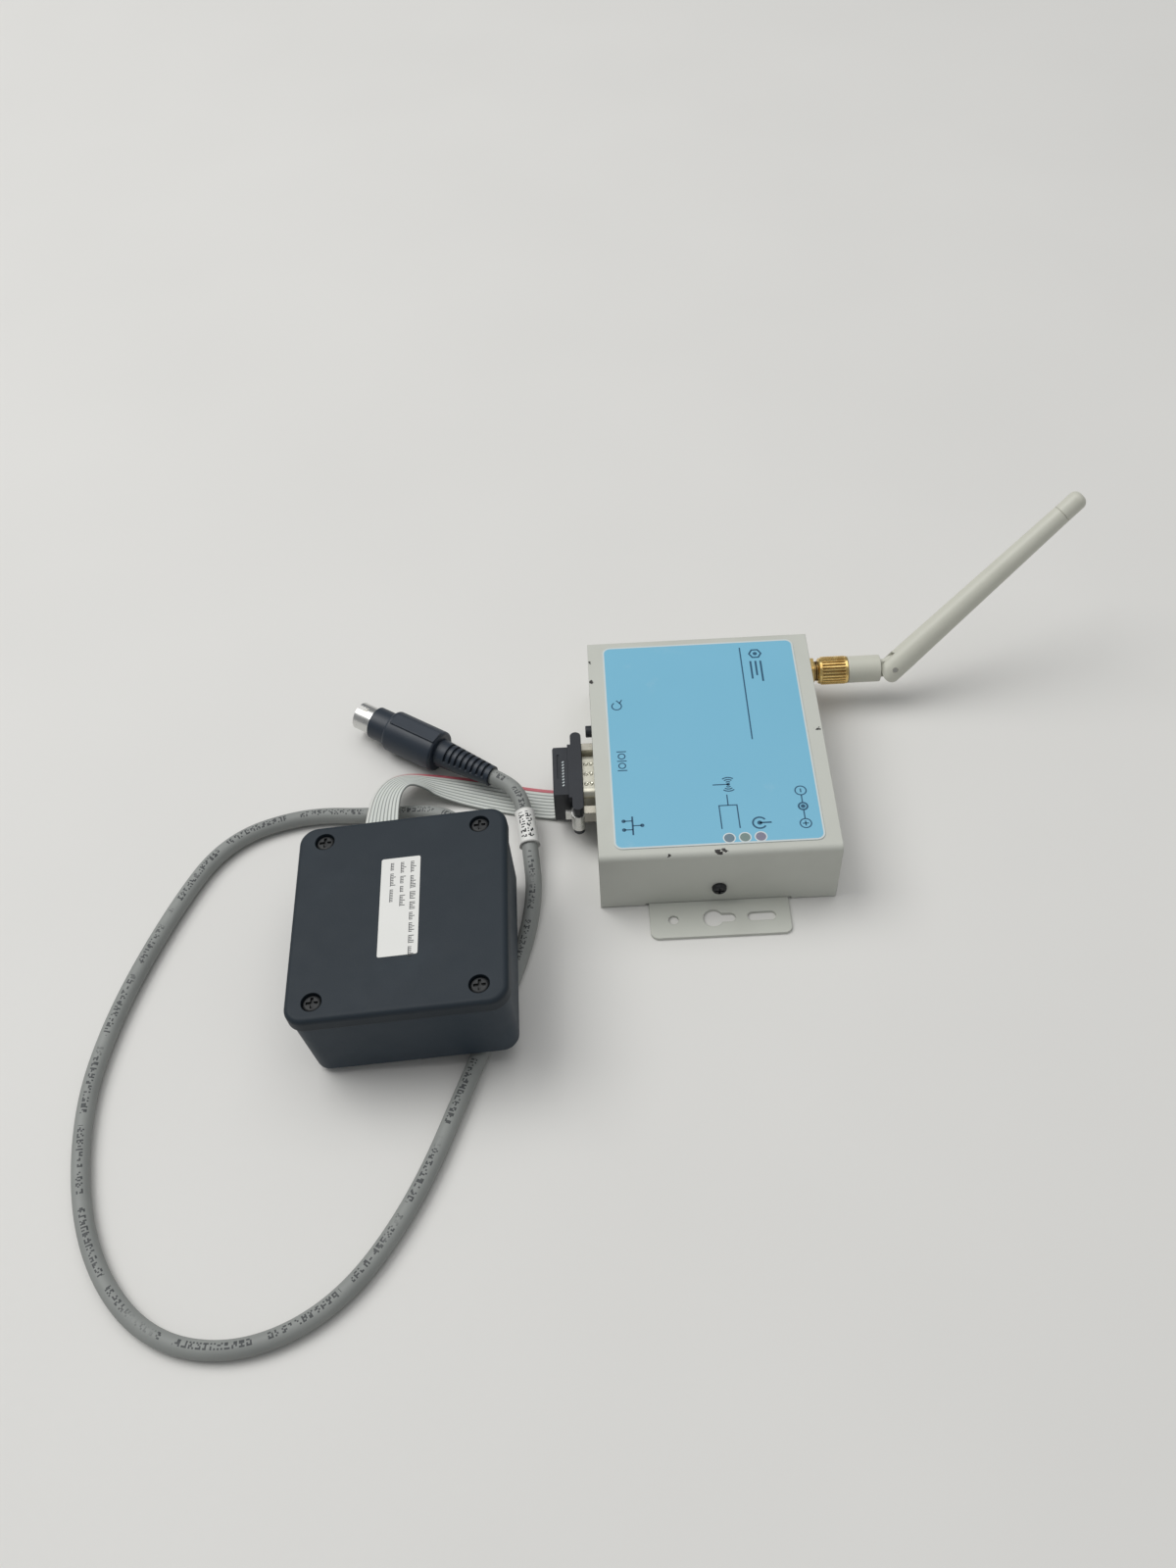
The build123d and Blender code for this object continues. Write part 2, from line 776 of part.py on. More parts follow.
coupler_x = half_w + coupler_start
coupler_end = coupler_x + coupler_len
sleeve_x = coupler_end + joint_gap
sleeve_end = sleeve_x + sleeve_len
hinge_x = sleeve_end + hinge_gap + hinge_drum_r
hinge_at = (hinge_x, antenna_y, antenna_z)
hinge_axis = (0, -sin(radians(antenna_roll)), cos(radians(antenna_roll)))
bend, roll = radians(antenna_bend), radians(antenna_roll)
radome_dir = (cos(bend), sin(bend) * cos(roll), sin(bend) * sin(roll))
sleeve_frame = Plane(origin=hinge_at, x_dir=(1, 0, 0), z_dir=hinge_axis)
radome_frame = Plane(origin=hinge_at, x_dir=radome_dir, z_dir=hinge_axis)


def coupling_nut():
    """Knurled coupling nut that turns on the bulkhead and is kept by the ferrule."""
    y, z = antenna_y, antenna_z
    outline = Circle(coupler_r)
    for spot in PolarLocations(coupler_r, knurl_count):
        outline -= spot * Circle(knurl_r)
    plane = Plane((coupler_x + nut_nose, y, z), x_dir=(0, 1, 0), z_dir=(1, 0, 0))
    nut = extrude(plane * outline, amount=coupler_len - nut_nose - nut_rim)
    nose = rod_x(coupler_x, coupler_x + nut_nose, y, z, coupler_r - nut_nose_step)
    nose = chamfer(nose.edges().filter_by(GeomType.CIRCLE).sort_by(Axis.X)[0], nut_nose * 0.4)
    rim = rod_x(coupler_end - nut_rim, coupler_end, y, z, coupler_r - nut_rim_step)
    nut = nut + nose + rim
    nut -= rod_x(coupler_x - 1, coupler_end - coupler_back, y, z, barrel_r + turn_fit)
    return nut - rod_x(coupler_x, coupler_end + 1, y, z, ferrule_neck_r + turn_fit)


def antenna_ferrule():
    """Headed ferrule: the head is inside the coupling nut and the flange inside the sleeve."""
    y, z = antenna_y, antenna_z
    shoulder = coupler_end - coupler_back - joint_gap
    head = rod_x(shoulder - ferrule_head_len, shoulder, y, z, barrel_r)
    neck = rod_x(shoulder, sleeve_x, y, z, ferrule_neck_r)
    tail = rod_x(sleeve_x, sleeve_x + sleeve_socket, y, z, barrel_r + 0.2)
    return head + neck + tail


def antenna_sleeve():
    """Round sleeve with a flat, round-ended hinge tongue."""
    y, z = antenna_y, antenna_z
    sleeve = rod_x(sleeve_x, sleeve_end, y, z, sleeve_r)
    sleeve = fillet(sleeve.edges().filter_by(GeomType.CIRCLE), sleeve_edge_r)
    sleeve -= rod_x(sleeve_x - 1, sleeve_x + sleeve_socket, y, z, barrel_r + 0.2)
    reach = hinge_x - sleeve_end + 1
    blade = sleeve_frame * (Pos(-reach / 2, 0, 0) * Box(reach, 2 * blade_half, tongue_t))
    eye = sleeve_frame * Cylinder(tongue_r, tongue_t)
    return sleeve + blade + eye - sleeve_frame * Cylinder(hinge_pin_r + hinge_fit, 3 * tongue_t)


def hinge_pin():
    """Hinge pin, fixed in the radome's cheeks and turning in the tongue."""
    return radome_frame * Cylinder(hinge_pin_r, 2 * radome_r - 0.6)


def radome():
    """Tapered antenna tube whose round heel is slotted for the tongue."""
    tube_end = radome_len - tip_cap_len
    profile = Polyline((-hinge_drum_r, 0), (-hinge_drum_r, radome_r), (radome_straight, radome_r),
                       (tube_end, radome_tip_r), (tube_end, 0), close=True)
    body = revolve(make_face(profile), axis=Axis.X)
    wide = 2 * hinge_drum_r
    behind = block(-wide, 0, -wide, wide, -wide, wide)
    body -= behind - Cylinder(hinge_drum_r, 5 * hinge_drum_r)
    slot_r = hypot(radome_r, blade_half) + hinge_gap
    body -= Cylinder(slot_r, 2 * tongue_space)
    body -= Cylinder(hinge_pin_r, 4 * hinge_drum_r)
    return radome_frame * (body - along(radome_bore_start, tube_end + 1, radome_bore_r))


def radome_tip():
    """Round-ended cap on the tip of the antenna tube."""
    start = radome_len - tip_cap_len
    cap = along(start, radome_len, radome_tip_r)
    cap = fillet(cap.edges().filter_by(GeomType.CIRCLE).sort_by(Axis.X)[-1], radome_tip_r * tip_round)
    cap = chamfer(cap.edges().filter_by(GeomType.CIRCLE).sort_by(Axis.X)[0], tip_groove)
    spigot = along(start - spigot_len, start + 1, radome_bore_r - hinge_fit)
    return radome_frame * (cap + spigot)


def antenna_element():
    """The radiator inside the tube: a thin feed and a wider brass sleeve."""
    return radome_frame * (along(*feed_span, feed_r) + along(*radiator_span, radiator_r))


# ---------------------------------------------------------------- flat-cable plug

plug_x = -half_w - post_out
cover_x = plug_x - plug_body_t


def plug_d_size():
    """Outer width and height of the plug's D-shaped shell, which fits inside the port's shell."""
    slack = 2 * (port_wall + plug_d_gap)
    return port_d_w - slack, port_d_h - slack


def ribbon_plug_body():
    """Front block of the plug with two ears, resting on the jack posts."""
    low, high = port_z - port_flange_h / 2, port_z + port_flange_h / 2
    y0, y1 = port_y - port_flange_w / 2, port_y + port_flange_w / 2
    body = block(plug_x - plug_ear_t, plug_x, y0, y1, low, high)
    body = fillet(body.edges().filter_by(Axis.Z), plug_ear_t / 2 - 0.01)
    body += block(cover_x, plug_x - 1, port_y - plug_front_w / 2, port_y + plug_front_w / 2, low, high)
    for y in port_screws():
        body -= rod_x(plug_x - 2 * plug_ear_t, plug_x + 1, y, port_z, plug_screw_r)
    shell_w, shell_h = plug_d_size()
    body -= extrude(d_face(plug_x - plug_recess, port_y, port_z, shell_w + hinge_fit, shell_h + hinge_fit,
                           port_d_corner_r - port_wall), amount=plug_recess + 1)
    for y, z in pin_spots(port_y, port_z):
        body -= rod_x(cover_x - 1, plug_x + 1, y, z, plug_contact_r + 0.03)
    return body


def ribbon_plug_cover():
    """Rear cap that clamps the flat cable; the cable leaves through its underside."""
    low, high = port_z - port_flange_h / 2, port_z + port_flange_h / 2
    y0, y1 = port_y - plug_cover_w / 2, port_y + plug_cover_w / 2
    cap = block(cover_x - plug_cover_t, cover_x, y0, y1, low, high)
    back = cap.edges().group_by(Axis.X)[0]
    cap = chamfer(back, plug_back_edge)
    slot_x = cover_x - plug_cover_t / 2
    cap -= block(slot_x - plug_cable_slot, slot_x + plug_cable_slot, port_y - ribbon_w / 2 - 0.3,
                 port_y + ribbon_w / 2 + 0.3, low - 1, port_z)
    step_x = cover_x - plug_cover_t + plug_step_in
    floor = high - plug_step_depth
    return cap - block(step_x, step_x + plug_step_w, port_y - 3, port_y + 6.5, floor, high + 1)


def ribbon_plug_shell():
    """The plug's D-shaped metal shell, inside the port's shell."""
    w, h = plug_d_size()
    corner_r = port_d_corner_r - port_wall - plug_d_gap
    outer = extrude(d_face(plug_x, port_y, port_z, w, h, corner_r), amount=post_out + 0.2)
    w, h = w - 2 * port_wall, h - 2 * port_wall
    bore = d_face(plug_x - 1, port_y, port_z, w, h, corner_r - port_wall)
    return outer - extrude(bore, amount=post_out + 2)


def ribbon_plug_contacts():
    """Nine sockets whose tails cut into the flat cable's conductors."""
    tubes = []
    for y, z in pin_spots(port_y, port_z):
        tube = rod_x(cover_x + 0.4, plug_x + 2.4, y, z, plug_contact_r)
        tubes.append(tube - rod_x(plug_x - 3.2, plug_x + 3, y, z, port_pin_r + 0.06))
    return Compound(tubes)


def ribbon_plug_clip():
    """A bent metal clip round the end of the near ear, with a short tail behind."""
    x, y = plug_x - plug_ear_t / 2, port_y - port_flange_w / 2 + plug_ear_t / 2
    outer = plug_ear_t / 2 + clip_t
    low, high, far = port_z - clip_low, port_z + clip_top, 3 * outer
    ring = rod_z(low, high, x, y, outer) - rod_z(low - 1, high + 1, x, y, outer - clip_t + 0.02)
    ring -= block(x - far, x + far, y, y + far, low - 1, high + 1)
    leg = block(x - outer, x - outer + clip_t - 0.02, y, y + 2.2, low, high)
    side = x - outer
    tab = block(side - clip_tab, side + 0.2, y + 0.9, y + 1.9, port_z - clip_tab, port_z + clip_tab)
    return ring + leg + tab - block(plug_x - 0.02, plug_x + far, y - far, y + far, low - 1, high + 1)


def ribbon_cable():
    """Flat nine-way cable as one strip through hand-set cross-sections."""
    centres = [Vector(*point) for point, _ in ribbon_route]
    sections = []
    for i, (point, across) in enumerate(ribbon_route):
        ahead = centres[min(i + 1, len(centres) - 1)] - centres[max(i - 1, 0)]
        across = Vector(*across)
        across = (across - ahead.normalized() * across.dot(ahead.normalized())).normalized()
        sections.append(Plane(origin=point, x_dir=across, z_dir=ahead) * Rectangle(ribbon_w, ribbon_t))
    length = sum((b - a).length for a, b in zip(centres, centres[1:]))
    print("ribbon length", round(length, 1))
    return loft(sections, ruled=True)


# ---------------------------------------------------------------- adapter box

box_place = (Pos(*from_port(box_corner)) * Rot(0, 0, box_yaw) * Rot(0, -box_lean, 0) * Rot(box_pitch, 0, 0)
             * Pos(box_w / 2, box_d / 2, 0))
base_h = box_h - lid_t
base_w = box_w - 2 * lid_overhang
base_d = box_d - 2 * lid_overhang


def lid_spots():
    x = box_w / 2 - lid_screw_x
    y = box_d / 2 - lid_screw_y
    return [(sx * x, sy * y) for sx in (-1, 1) for sy in (-1, 1)]


def box_base():
    """Tray with drafted walls, four screw bosses, a cable slot and a cord hole."""
    r = lid_corner_r - lid_overhang
    top = Pos(0, 0, base_h) * RectangleRounded(base_w, base_d, r)
    foot = RectangleRounded(base_w - 2 * box_draft, base_d - 2 * box_draft, r)
    tray = loft([foot, top])
    tray = fillet(tray.edges().group_by(Axis.Z)[0], 1.2)
    inner = RectangleRounded(base_w - 2 * box_wall, base_d - 2 * box_wall, r - box_wall)
    inset = 2 * (box_draft + box_wall)
    floor = RectangleRounded(base_w - inset, base_d - inset, r - box_wall)
    tray -= loft([Pos(0, 0, box_wall) * floor, Pos(0, 0, base_h) * inner])
    for x, y in lid_spots():
        tray += rod_z(box_wall - 0.5, base_h, x, y, boss_r)
        tray -= rod_z(base_h - 14, base_h + 1, x, y, lid_screw_r + 0.05)
    tray = box_place * tray
    slot = Pos(0, 2.5, 0) * Box(ribbon_w + 0.8, 3 * box_wall, ribbon_t + 0.6)
    slot = Pos(*ribbon_route[-1][0]) * Rot(0, -box_lean, 0) * slot
    x, y, z = cord_route[0]
    return tray - slot - rod_y(y - 12, y + 6, x, z, grommet_r + fit_gap)


def box_lid():
    """Lid with rounded edges, a locating rib and four sunk screw holes."""
    lid = Pos(0, 0, base_h) * rounded(box_w, box_d, lid_t, lid_corner_r)
    lid = fillet(lid.edges().group_by(Axis.Z)[-1], lid_edge_r)
    for x, y in lid_spots():
        lid -= rod_z(box_h - lid_sink_depth, box_h + 1, x, y, lid_sink_r)
        lid -= rod_z(base_h - 1, box_h + 1, x, y, lid_screw_r + 0.2)
    return box_place * lid


def lid_screws():
    screw = pan_screw(lid_screw_head_r, 1.5, lid_screw_r, 12.0)
    return box_place * Compound([Pos(x, y, box_h - lid_sink_depth) * screw for x, y in lid_spots()])


def box_label():
    """Paper label on the lid."""
    x = -box_w / 2 + sticker_x + sticker_w / 2
    y = -box_d / 2 + sticker_y + sticker_d / 2
    return box_place * (Pos(x, y, box_h) * rounded(sticker_w, sticker_d, sticker_t, sticker_corner_r))


def adapter_board():
    """Small board on the tray's floor ribs, between the bosses."""
    margin_x, margin_y = adapter_margin
    size = (base_w - 2 * box_wall - 2 * margin_x, base_d - 2 * box_wall - 2 * margin_y, board_t)
    return box_place * on_board(size, 0, adapter_shift, box_wall + adapter_lift)


def adapter_spacers():
    """Four spacers between the tray's floor and the adapter board."""
    dx, dy = spacer_spread
    top = box_wall + adapter_lift
    return box_place * Compound([rod_z(box_wall, top, sx * dx, adapter_shift + sy * dy, spacer_r)
                                 for sx in (-1, 1) for sy in (-1, 1)])


def adapter_parts():
    """Level converter chip, two small capacitors and a crystal on the adapter board."""
    z = box_wall + adapter_lift + board_t
    chip = on_board((7.5, 18, 2.5), 0, -8, z)
    crystal = on_board((4.5, 10, 3.5), 11, -24, z)
    cans = [rod_z(z, z + 7, x, -26, 2.5) for x in (-12, -4)]
    return box_place * Compound([chip, crystal, *cans])


def ribbon_header():
    """Header that the flat cable ends in, standing on the adapter board."""
    x, y, z = ribbon_route[-1][0]
    shape = Box(*header_size, align=(Align.CENTER, Align.MAX, Align.CENTER))
    return Pos(x, y - header_gap, z) * Rot(0, -box_lean, 0) * shape


def cord_grommet():
    """Rubber grommet in the box's back wall."""
    x, y, z = cord_route[0]
    bush = rod_y(y - grommet_len, y, x, z, grommet_r)
    return bush + rod_y(y - grommet_flange_t, y, x, z, grommet_flange_r)


# ---------------------------------------------------------------- round cord and its plug

cord_path, cord_solid, cord_radii = bent_tube(cord_route, cord_r)
print("cord length", round(cord_path.length, 1), "least radius", round(min(cord_radii), 1))
print("cord radii", [round(r, 1) for r in cord_radii])
print("cord volume", round(cord_solid.volume), "section x length", round(cord_path.length * pi * cord_r**2))

tail = Vector(*cord_route[-1])
din_dir = (tail - Vector(*cord_route[-2])).normalized()
din_frame = Plane(origin=tail, x_dir=din_dir, z_dir=(0, 0, 1))
body_s = din_relief_len
collar_s = body_s + din_body_len
shell_s = collar_s + din_collar_len
tip_s = shell_s + din_shell_len


def marker_sleeve():
    """Thin printed sleeve shrunk on the cord near the plug."""
    piece = cord_path.wire().trim(marker_from, marker_to)
    section = Plane(origin=piece @ 0, z_dir=piece % 0) * (Circle(cord_r + marker_t) - Circle(cord_r))
    return sweep(section, path=piece)


def plug_strain_relief():
    """Tapered, ribbed strain relief."""
    cone = Polyline((0, 0), (0, din_tail_r), (body_s, din_relief_r), (body_s, 0), close=True)
    relief = revolve(make_face(cone), axis=Axis.X)
    pitch = (din_relief_len - 4) / din_relief_ribs
    for i in range(din_relief_ribs):
        s = 1.5 + i * pitch
        core_r = din_tail_r - 0.7 + s * (din_relief_r - din_tail_r) / din_relief_len
        ring = along(s, s + pitch * din_rib_share, 2 * din_relief_r) - along(s - 1, s + pitch, core_r)
        relief -= ring - Box(4 * din_relief_len, 4 * din_relief_r, din_web_w)
    return din_frame * relief


def plug_body():
    """Overmoulded plug body with a narrower collar, a spine and a thumb tab."""
    body = fillet(along(body_s, collar_s, din_body_r).edges().filter_by(GeomType.CIRCLE), din_edge_r)
    body += along(collar_s - 2, shell_s, din_collar_r)
    body += Pos(body_s + din_spine[0] / 2 + 0.5, 0, din_body_r - din_spine_sunk) * Box(*din_spine)
    return din_frame * (body - along(shell_s - din_socket, shell_s + 1, din_shell_r + din_fit))


def plug_shell():
    """Round metal shell with three key notches in its rim."""
    floor_s = shell_s - din_socket + din_shell_wall
    shell = along(shell_s - din_socket, tip_s, din_shell_r)
    shell -= along(floor_s, tip_s + 1, din_shell_r - din_shell_wall)
    for turn, width in ((90, 1.6), (-35, 1.0), (215, 1.0)):
        notch = Rot(turn, 0, 0) * (Pos(tip_s - 1.5, din_shell_r, 0) * Box(4.2, 2, width))
        shell -= notch
    return din_frame * shell


def plug_insert():
    """Insulator inside the shell, with a hole for each pin and a rectangular key."""
    core = along(shell_s - din_socket + din_shell_wall, shell_s + 0.6, din_shell_r - din_shell_wall)
    core += Pos(shell_s + 2, 0, -0.4) * Box(6, 2.0, 1.0)
    for y, z in pin_ring():
        core -= Pos(0, y, z) * along(shell_s - din_pin_floor, shell_s + 2, din_pin_r)
    return din_frame * core


def pin_ring():
    """The plug's contact places, spread round a horseshoe."""
    turns = [radians(-20 + 220 * i / (din_pins - 1)) for i in range(din_pins)]
    return [(din_pin_ring_r * cos(turn), din_pin_ring_r * sin(turn)) for turn in turns]


def plug_pins():
    pins = [Pos(0, y, z) * along(shell_s - din_pin_floor, tip_s - 0.9, din_pin_r) for y, z in pin_ring()]
    return din_frame * Compound(pins)


nodes = {
    "chassis": chassis(),
    "top_cover": top_cover(),
    "overlay_label": overlay_label(),
    "cover_screws": cover_screws(),
    "board_standoffs": board_standoffs(),
    "main_board": main_board(),
    "board_screws": board_screws(),
    "radio_board": radio_board(),
    "radio_shield": radio_shield(),
    "processor_chip": processor_chip(),
    "memory_chips": memory_chips(),
    "capacitors": capacitors(),
    "line_transformer": line_transformer(),
    "ethernet_jack": ethernet_jack(),
    "ethernet_contacts": ethernet_contacts(),
    "serial_port_shell": serial_port_shell(),
    "serial_port_body": serial_port_body(),
    "serial_port_pins": serial_port_pins(),
    "jack_posts": jack_posts(),
    "power_jack": power_jack(),
    "power_jack_pin": power_jack_pin(),
    "reset_switch": reset_switch(),
    "reset_button": reset_button(),
    "status_leds": status_leds(),
    "light_pipes": light_pipes(),
    "antenna_bulkhead": antenna_bulkhead(),
    "bulkhead_washer": bulkhead_washer(),
    "bulkhead_nut": bulkhead_nut(),
    "antenna_pigtail": antenna_pigtail(),
    "coupling_nut": coupling_nut(),
    "antenna_ferrule": antenna_ferrule(),
    "antenna_sleeve": antenna_sleeve(),
    "hinge_pin": hinge_pin(),
    "radome": radome(),
    "radome_tip": radome_tip(),
    "antenna_element": antenna_element(),
    "ribbon_plug_body": ribbon_plug_body(),
    "ribbon_plug_cover": ribbon_plug_cover(),
    "ribbon_plug_shell": ribbon_plug_shell(),
    "ribbon_plug_contacts": ribbon_plug_contacts(),
    "ribbon_plug_clip": ribbon_plug_clip(),
    "ribbon_cable": ribbon_cable(),
    "box_base": box_base(),
    "box_lid": box_lid(),
    "lid_screws": lid_screws(),
    "box_label": box_label(),
    "adapter_board": adapter_board(),
    "adapter_spacers": adapter_spacers(),
    "adapter_parts": adapter_parts(),
    "ribbon_header": ribbon_header(),
    "cord_grommet": cord_grommet(),
    "grey_cord": cord_solid,
    "marker_sleeve": marker_sleeve(),
    "plug_strain_relief": plug_strain_relief(),
    "plug_body": plug_body(),
    "plug_shell": plug_shell(),
    "plug_insert": plug_insert(),
    "plug_pins": plug_pins(),
}

os.makedirs("parts", exist_ok=True)
for name, shape in nodes.items():
    export_step(shape, f"parts/{name}.step")
print(len(nodes), "nodes")
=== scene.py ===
"""Looks of a wireless serial server with its hinged antenna, flat lead, adapter box and corded round plug.

Metres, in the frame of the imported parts: +X points to the antenna side, -Y to the status lights and +Z up.
"""

from math import pi, radians

import bpy
import numpy as np
from mathutils import Matrix, Vector


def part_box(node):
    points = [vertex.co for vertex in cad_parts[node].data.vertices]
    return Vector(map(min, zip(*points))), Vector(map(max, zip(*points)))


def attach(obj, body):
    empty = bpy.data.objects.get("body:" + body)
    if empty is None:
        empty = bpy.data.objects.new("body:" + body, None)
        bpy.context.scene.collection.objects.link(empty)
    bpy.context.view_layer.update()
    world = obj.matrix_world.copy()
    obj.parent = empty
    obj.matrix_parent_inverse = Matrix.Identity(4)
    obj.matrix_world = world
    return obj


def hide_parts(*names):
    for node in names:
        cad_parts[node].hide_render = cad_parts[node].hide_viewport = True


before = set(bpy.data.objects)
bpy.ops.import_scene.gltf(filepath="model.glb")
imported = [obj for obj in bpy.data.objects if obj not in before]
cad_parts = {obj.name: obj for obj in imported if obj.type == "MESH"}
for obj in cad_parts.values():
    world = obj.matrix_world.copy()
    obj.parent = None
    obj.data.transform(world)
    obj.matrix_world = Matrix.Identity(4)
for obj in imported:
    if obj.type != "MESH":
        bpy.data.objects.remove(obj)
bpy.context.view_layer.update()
mm = 0.001


# Table top, light and camera. The table is a plain pale laminate whose tone and gloss shift a little. A large
# soft light stands to the left and a little behind, a wider one hangs overhead, and the camera looks down
# from the near side.

class Wire:
    """A shader socket in plain arithmetic: each operator adds the Math node that works the expression out."""

    def __init__(self, finish, socket):
        self.finish = finish
        self.socket = socket

    def math(self, operation, *others):
        """The result of a Math operation on this value and the others."""
        return self.finish.node("Math", {"operation": operation}, dict(enumerate((self, *others))))

    def __add__(self, other):
        return self.math("ADD", other)

    __radd__ = __add__

    def __sub__(self, other):
        return self.math("SUBTRACT", other)

    def __rsub__(self, other):
        return self * -1.0 + other

    def __mul__(self, other):
        return self.math("MULTIPLY", other)

    __rmul__ = __mul__

    def __truediv__(self, other):
        return self.math("DIVIDE", other)

    def __gt__(self, other):
        return self.math("GREATER_THAN", other)

    def __lt__(self, other):
        return self.math("LESS_THAN", other)

    def __abs__(self):
        return self.math("ABSOLUTE")


class Finish:
    """A named material. node() adds a shader node from its type, its settings, set first, and its sockets."""

    def __init__(self, name):
        self.material = bpy.data.materials.new(name)
        self.material.use_nodes = True
        self.tree = self.material.node_tree
        self.tree.nodes.clear()

    def node(self, kind, settings=None, sockets=None, out=0):
        made = self.tree.nodes.new("ShaderNode" + kind)
        for key, value in (settings or {}).items():
            setattr(made, key, value)
        for key, value in (sockets or {}).items():
            if isinstance(value, Wire):
                self.tree.links.new(value.socket, made.inputs[key])
            else:
                made.inputs[key].default_value = value
        return Wire(self, made.outputs[out])

    def reading(self, name):
        """A value kept on the piece's points."""
        return self.node("Attribute", {"attribute_name": name}, out="Fac")

    def axes(self):
        """The object coordinates x, y and z, in metres."""
        place = self.node("TexCoord", out="Object")
        return [self.node("SeparateXYZ", {}, {0: place}, axis) for axis in range(3)]

    def glyphs(self, along, across, cell):
        """Ink in rows of made-up characters. Each is three cells wide and four high, one cell from the next,
        and a little over half of its cells are inked."""
        column, row = (along / cell).math("FLOOR"), (across / cell).math("FLOOR")
        inked = self.node("TexWhiteNoise", {}, {0: self.node("CombineXYZ", {}, {0: column, 1: row})}) > 0.46
        in_character = (along / (4 * cell)).math("FRACT") < 0.75
        in_row = (across / (5 * cell)).math("FRACT") < 0.8
        return inked * in_character * in_row

    def noise(self, scale, detail=3.0, place=None):
        """Cloudy values from 0 to 1, with about this many clouds to the metre."""
        place = place or self.node("TexCoord", out="Object")
        return self.node("TexNoise", {}, {"Vector": place, "Scale": scale, "Detail": detail})

    def step(self, value, low, high):
        """0 below low, 1 above high and a smooth slope between them."""
        return self.node("MapRange", {"interpolation_type": "SMOOTHSTEP"}, {0: value, 1: low, 2: high})

    def mixed(self, share, first, second):
        """Colour that goes from the first to the second as share goes from 0 to 1."""
        return self.node("Mix", {"data_type": "RGBA"}, {0: share, 6: first, 7: second}, 2)

    def surface(self, colour, rough, relief=None, depth=0.0, edge=0.0, **fixed):
        """Closes the material: relief of a depth in metres, and edges that catch light as if rounded."""
        sockets = {"Base Color": colour, "Roughness": rough}
        for key, value in fixed.items():
            sockets[key.replace("_", " ")] = value
        normal = {}
        if edge:
            normal["Normal"] = self.node("Bevel", {"samples": 6}, {"Radius": edge})
        if relief is not None:
            bump = {"Height": relief, "Distance": depth, "Strength": 1.0}
            normal["Normal"] = self.node("Bump", {}, {**bump, **normal})
        shader = self.node("BsdfPrincipled", {}, {**sockets, **normal})
        self.tree.links.new(shader.socket, self.tree.nodes.new("ShaderNodeOutputMaterial").inputs[0])
        return self


def shade(red, green, blue):
    """A colour given from 0 to 255 as the eye sees it, turned into the values that light adds up in."""
    seen = np.array([red, green, blue]) / 255
    return (*np.where(seen < 0.04045, seen / 12.92, ((seen + 0.055) / 1.055) ** 2.4).tolist(), 1.0)


laminate = Finish("pale_laminate")
laminate.surface(
    laminate.mixed(laminate.noise(9, 2), shade(222, 221, 218), shade(228, 227, 224)),
    0.55 + 0.1 * laminate.noise(400),
)
table_half = 2.5
table_mesh = bpy.data.meshes.new("table_top")
table_corners = [(-1, -1), (1, -1), (1, 1), (-1, 1)]
table_mesh.from_pydata([(x * table_half, y * table_half, 0) for x, y in table_corners], [], [(0, 1, 2, 3)])
table_mesh.materials.append(laminate.material)
table_top = bpy.data.objects.new("table_top", table_mesh)
bpy.context.scene.collection.objects.link(table_top)

sky = bpy.data.worlds.new("even_sky")
sky.use_nodes = True
sky.node_tree.nodes["Background"].inputs["Color"].default_value = (0.96, 0.98, 1.0, 1.0)
sky.node_tree.nodes["Background"].inputs["Strength"].default_value = 0.29
bpy.context.scene.world = sky
bpy.context.scene.view_settings.view_transform = "Standard"

for name, place, size, power, tint in (
    ("window_light", (-1.1, 0.45, 1.75), 1.3, 21.0, (1.0, 0.995, 0.98)),
    ("ceiling_light", (0.1, 0.5, 2.3), 2.4, 19.0, (1.0, 0.995, 0.98)),
):
    lamp = bpy.data.lights.new(name, "AREA")
    lamp.size = size
    lamp.energy = power
    lamp.color = tint
    light = bpy.data.objects.new(name, lamp)
    light.location = place
    light.rotation_euler = (-Vector(place)).to_track_quat("-Z", "Y").to_euler()
    bpy.context.scene.collection.objects.link(light)

eye = Vector((-37.5 * mm, -290.5 * mm, 371 * mm))
look_down = radians(38.5)
lean = radians(-2.9)
lens = bpy.data.cameras.new("camera")
lens.lens = 33.75
lens.sensor_width = 36
lens.clip_start = 0.01
camera = bpy.data.objects.new("camera", lens)
turned = Matrix.Rotation(look_down, 4, "X") @ Matrix.Rotation(lean, 4, "Z")
camera.matrix_world = Matrix.Translation(eye) @ turned
bpy.context.scene.collection.objects.link(camera)
bpy.context.scene.camera = camera


# Round cord: a limp five millimetre lead in a matt grey jacket with a worn line of print along its top. It
# leaves the adapter box through its back wall, loops round the box on the table and passes under its corner.

def run_along(line):
    """How far each point of a line stands along it."""
    return np.concatenate([[0], np.cumsum(np.linalg.norm(np.diff(line, axis=0), axis=1))])


def read_off(places, run, line):
    """The points of a line at the given places of its run."""
    return np.column_stack([np.interp(places, run, line[:, axis]) for axis in range(3)])


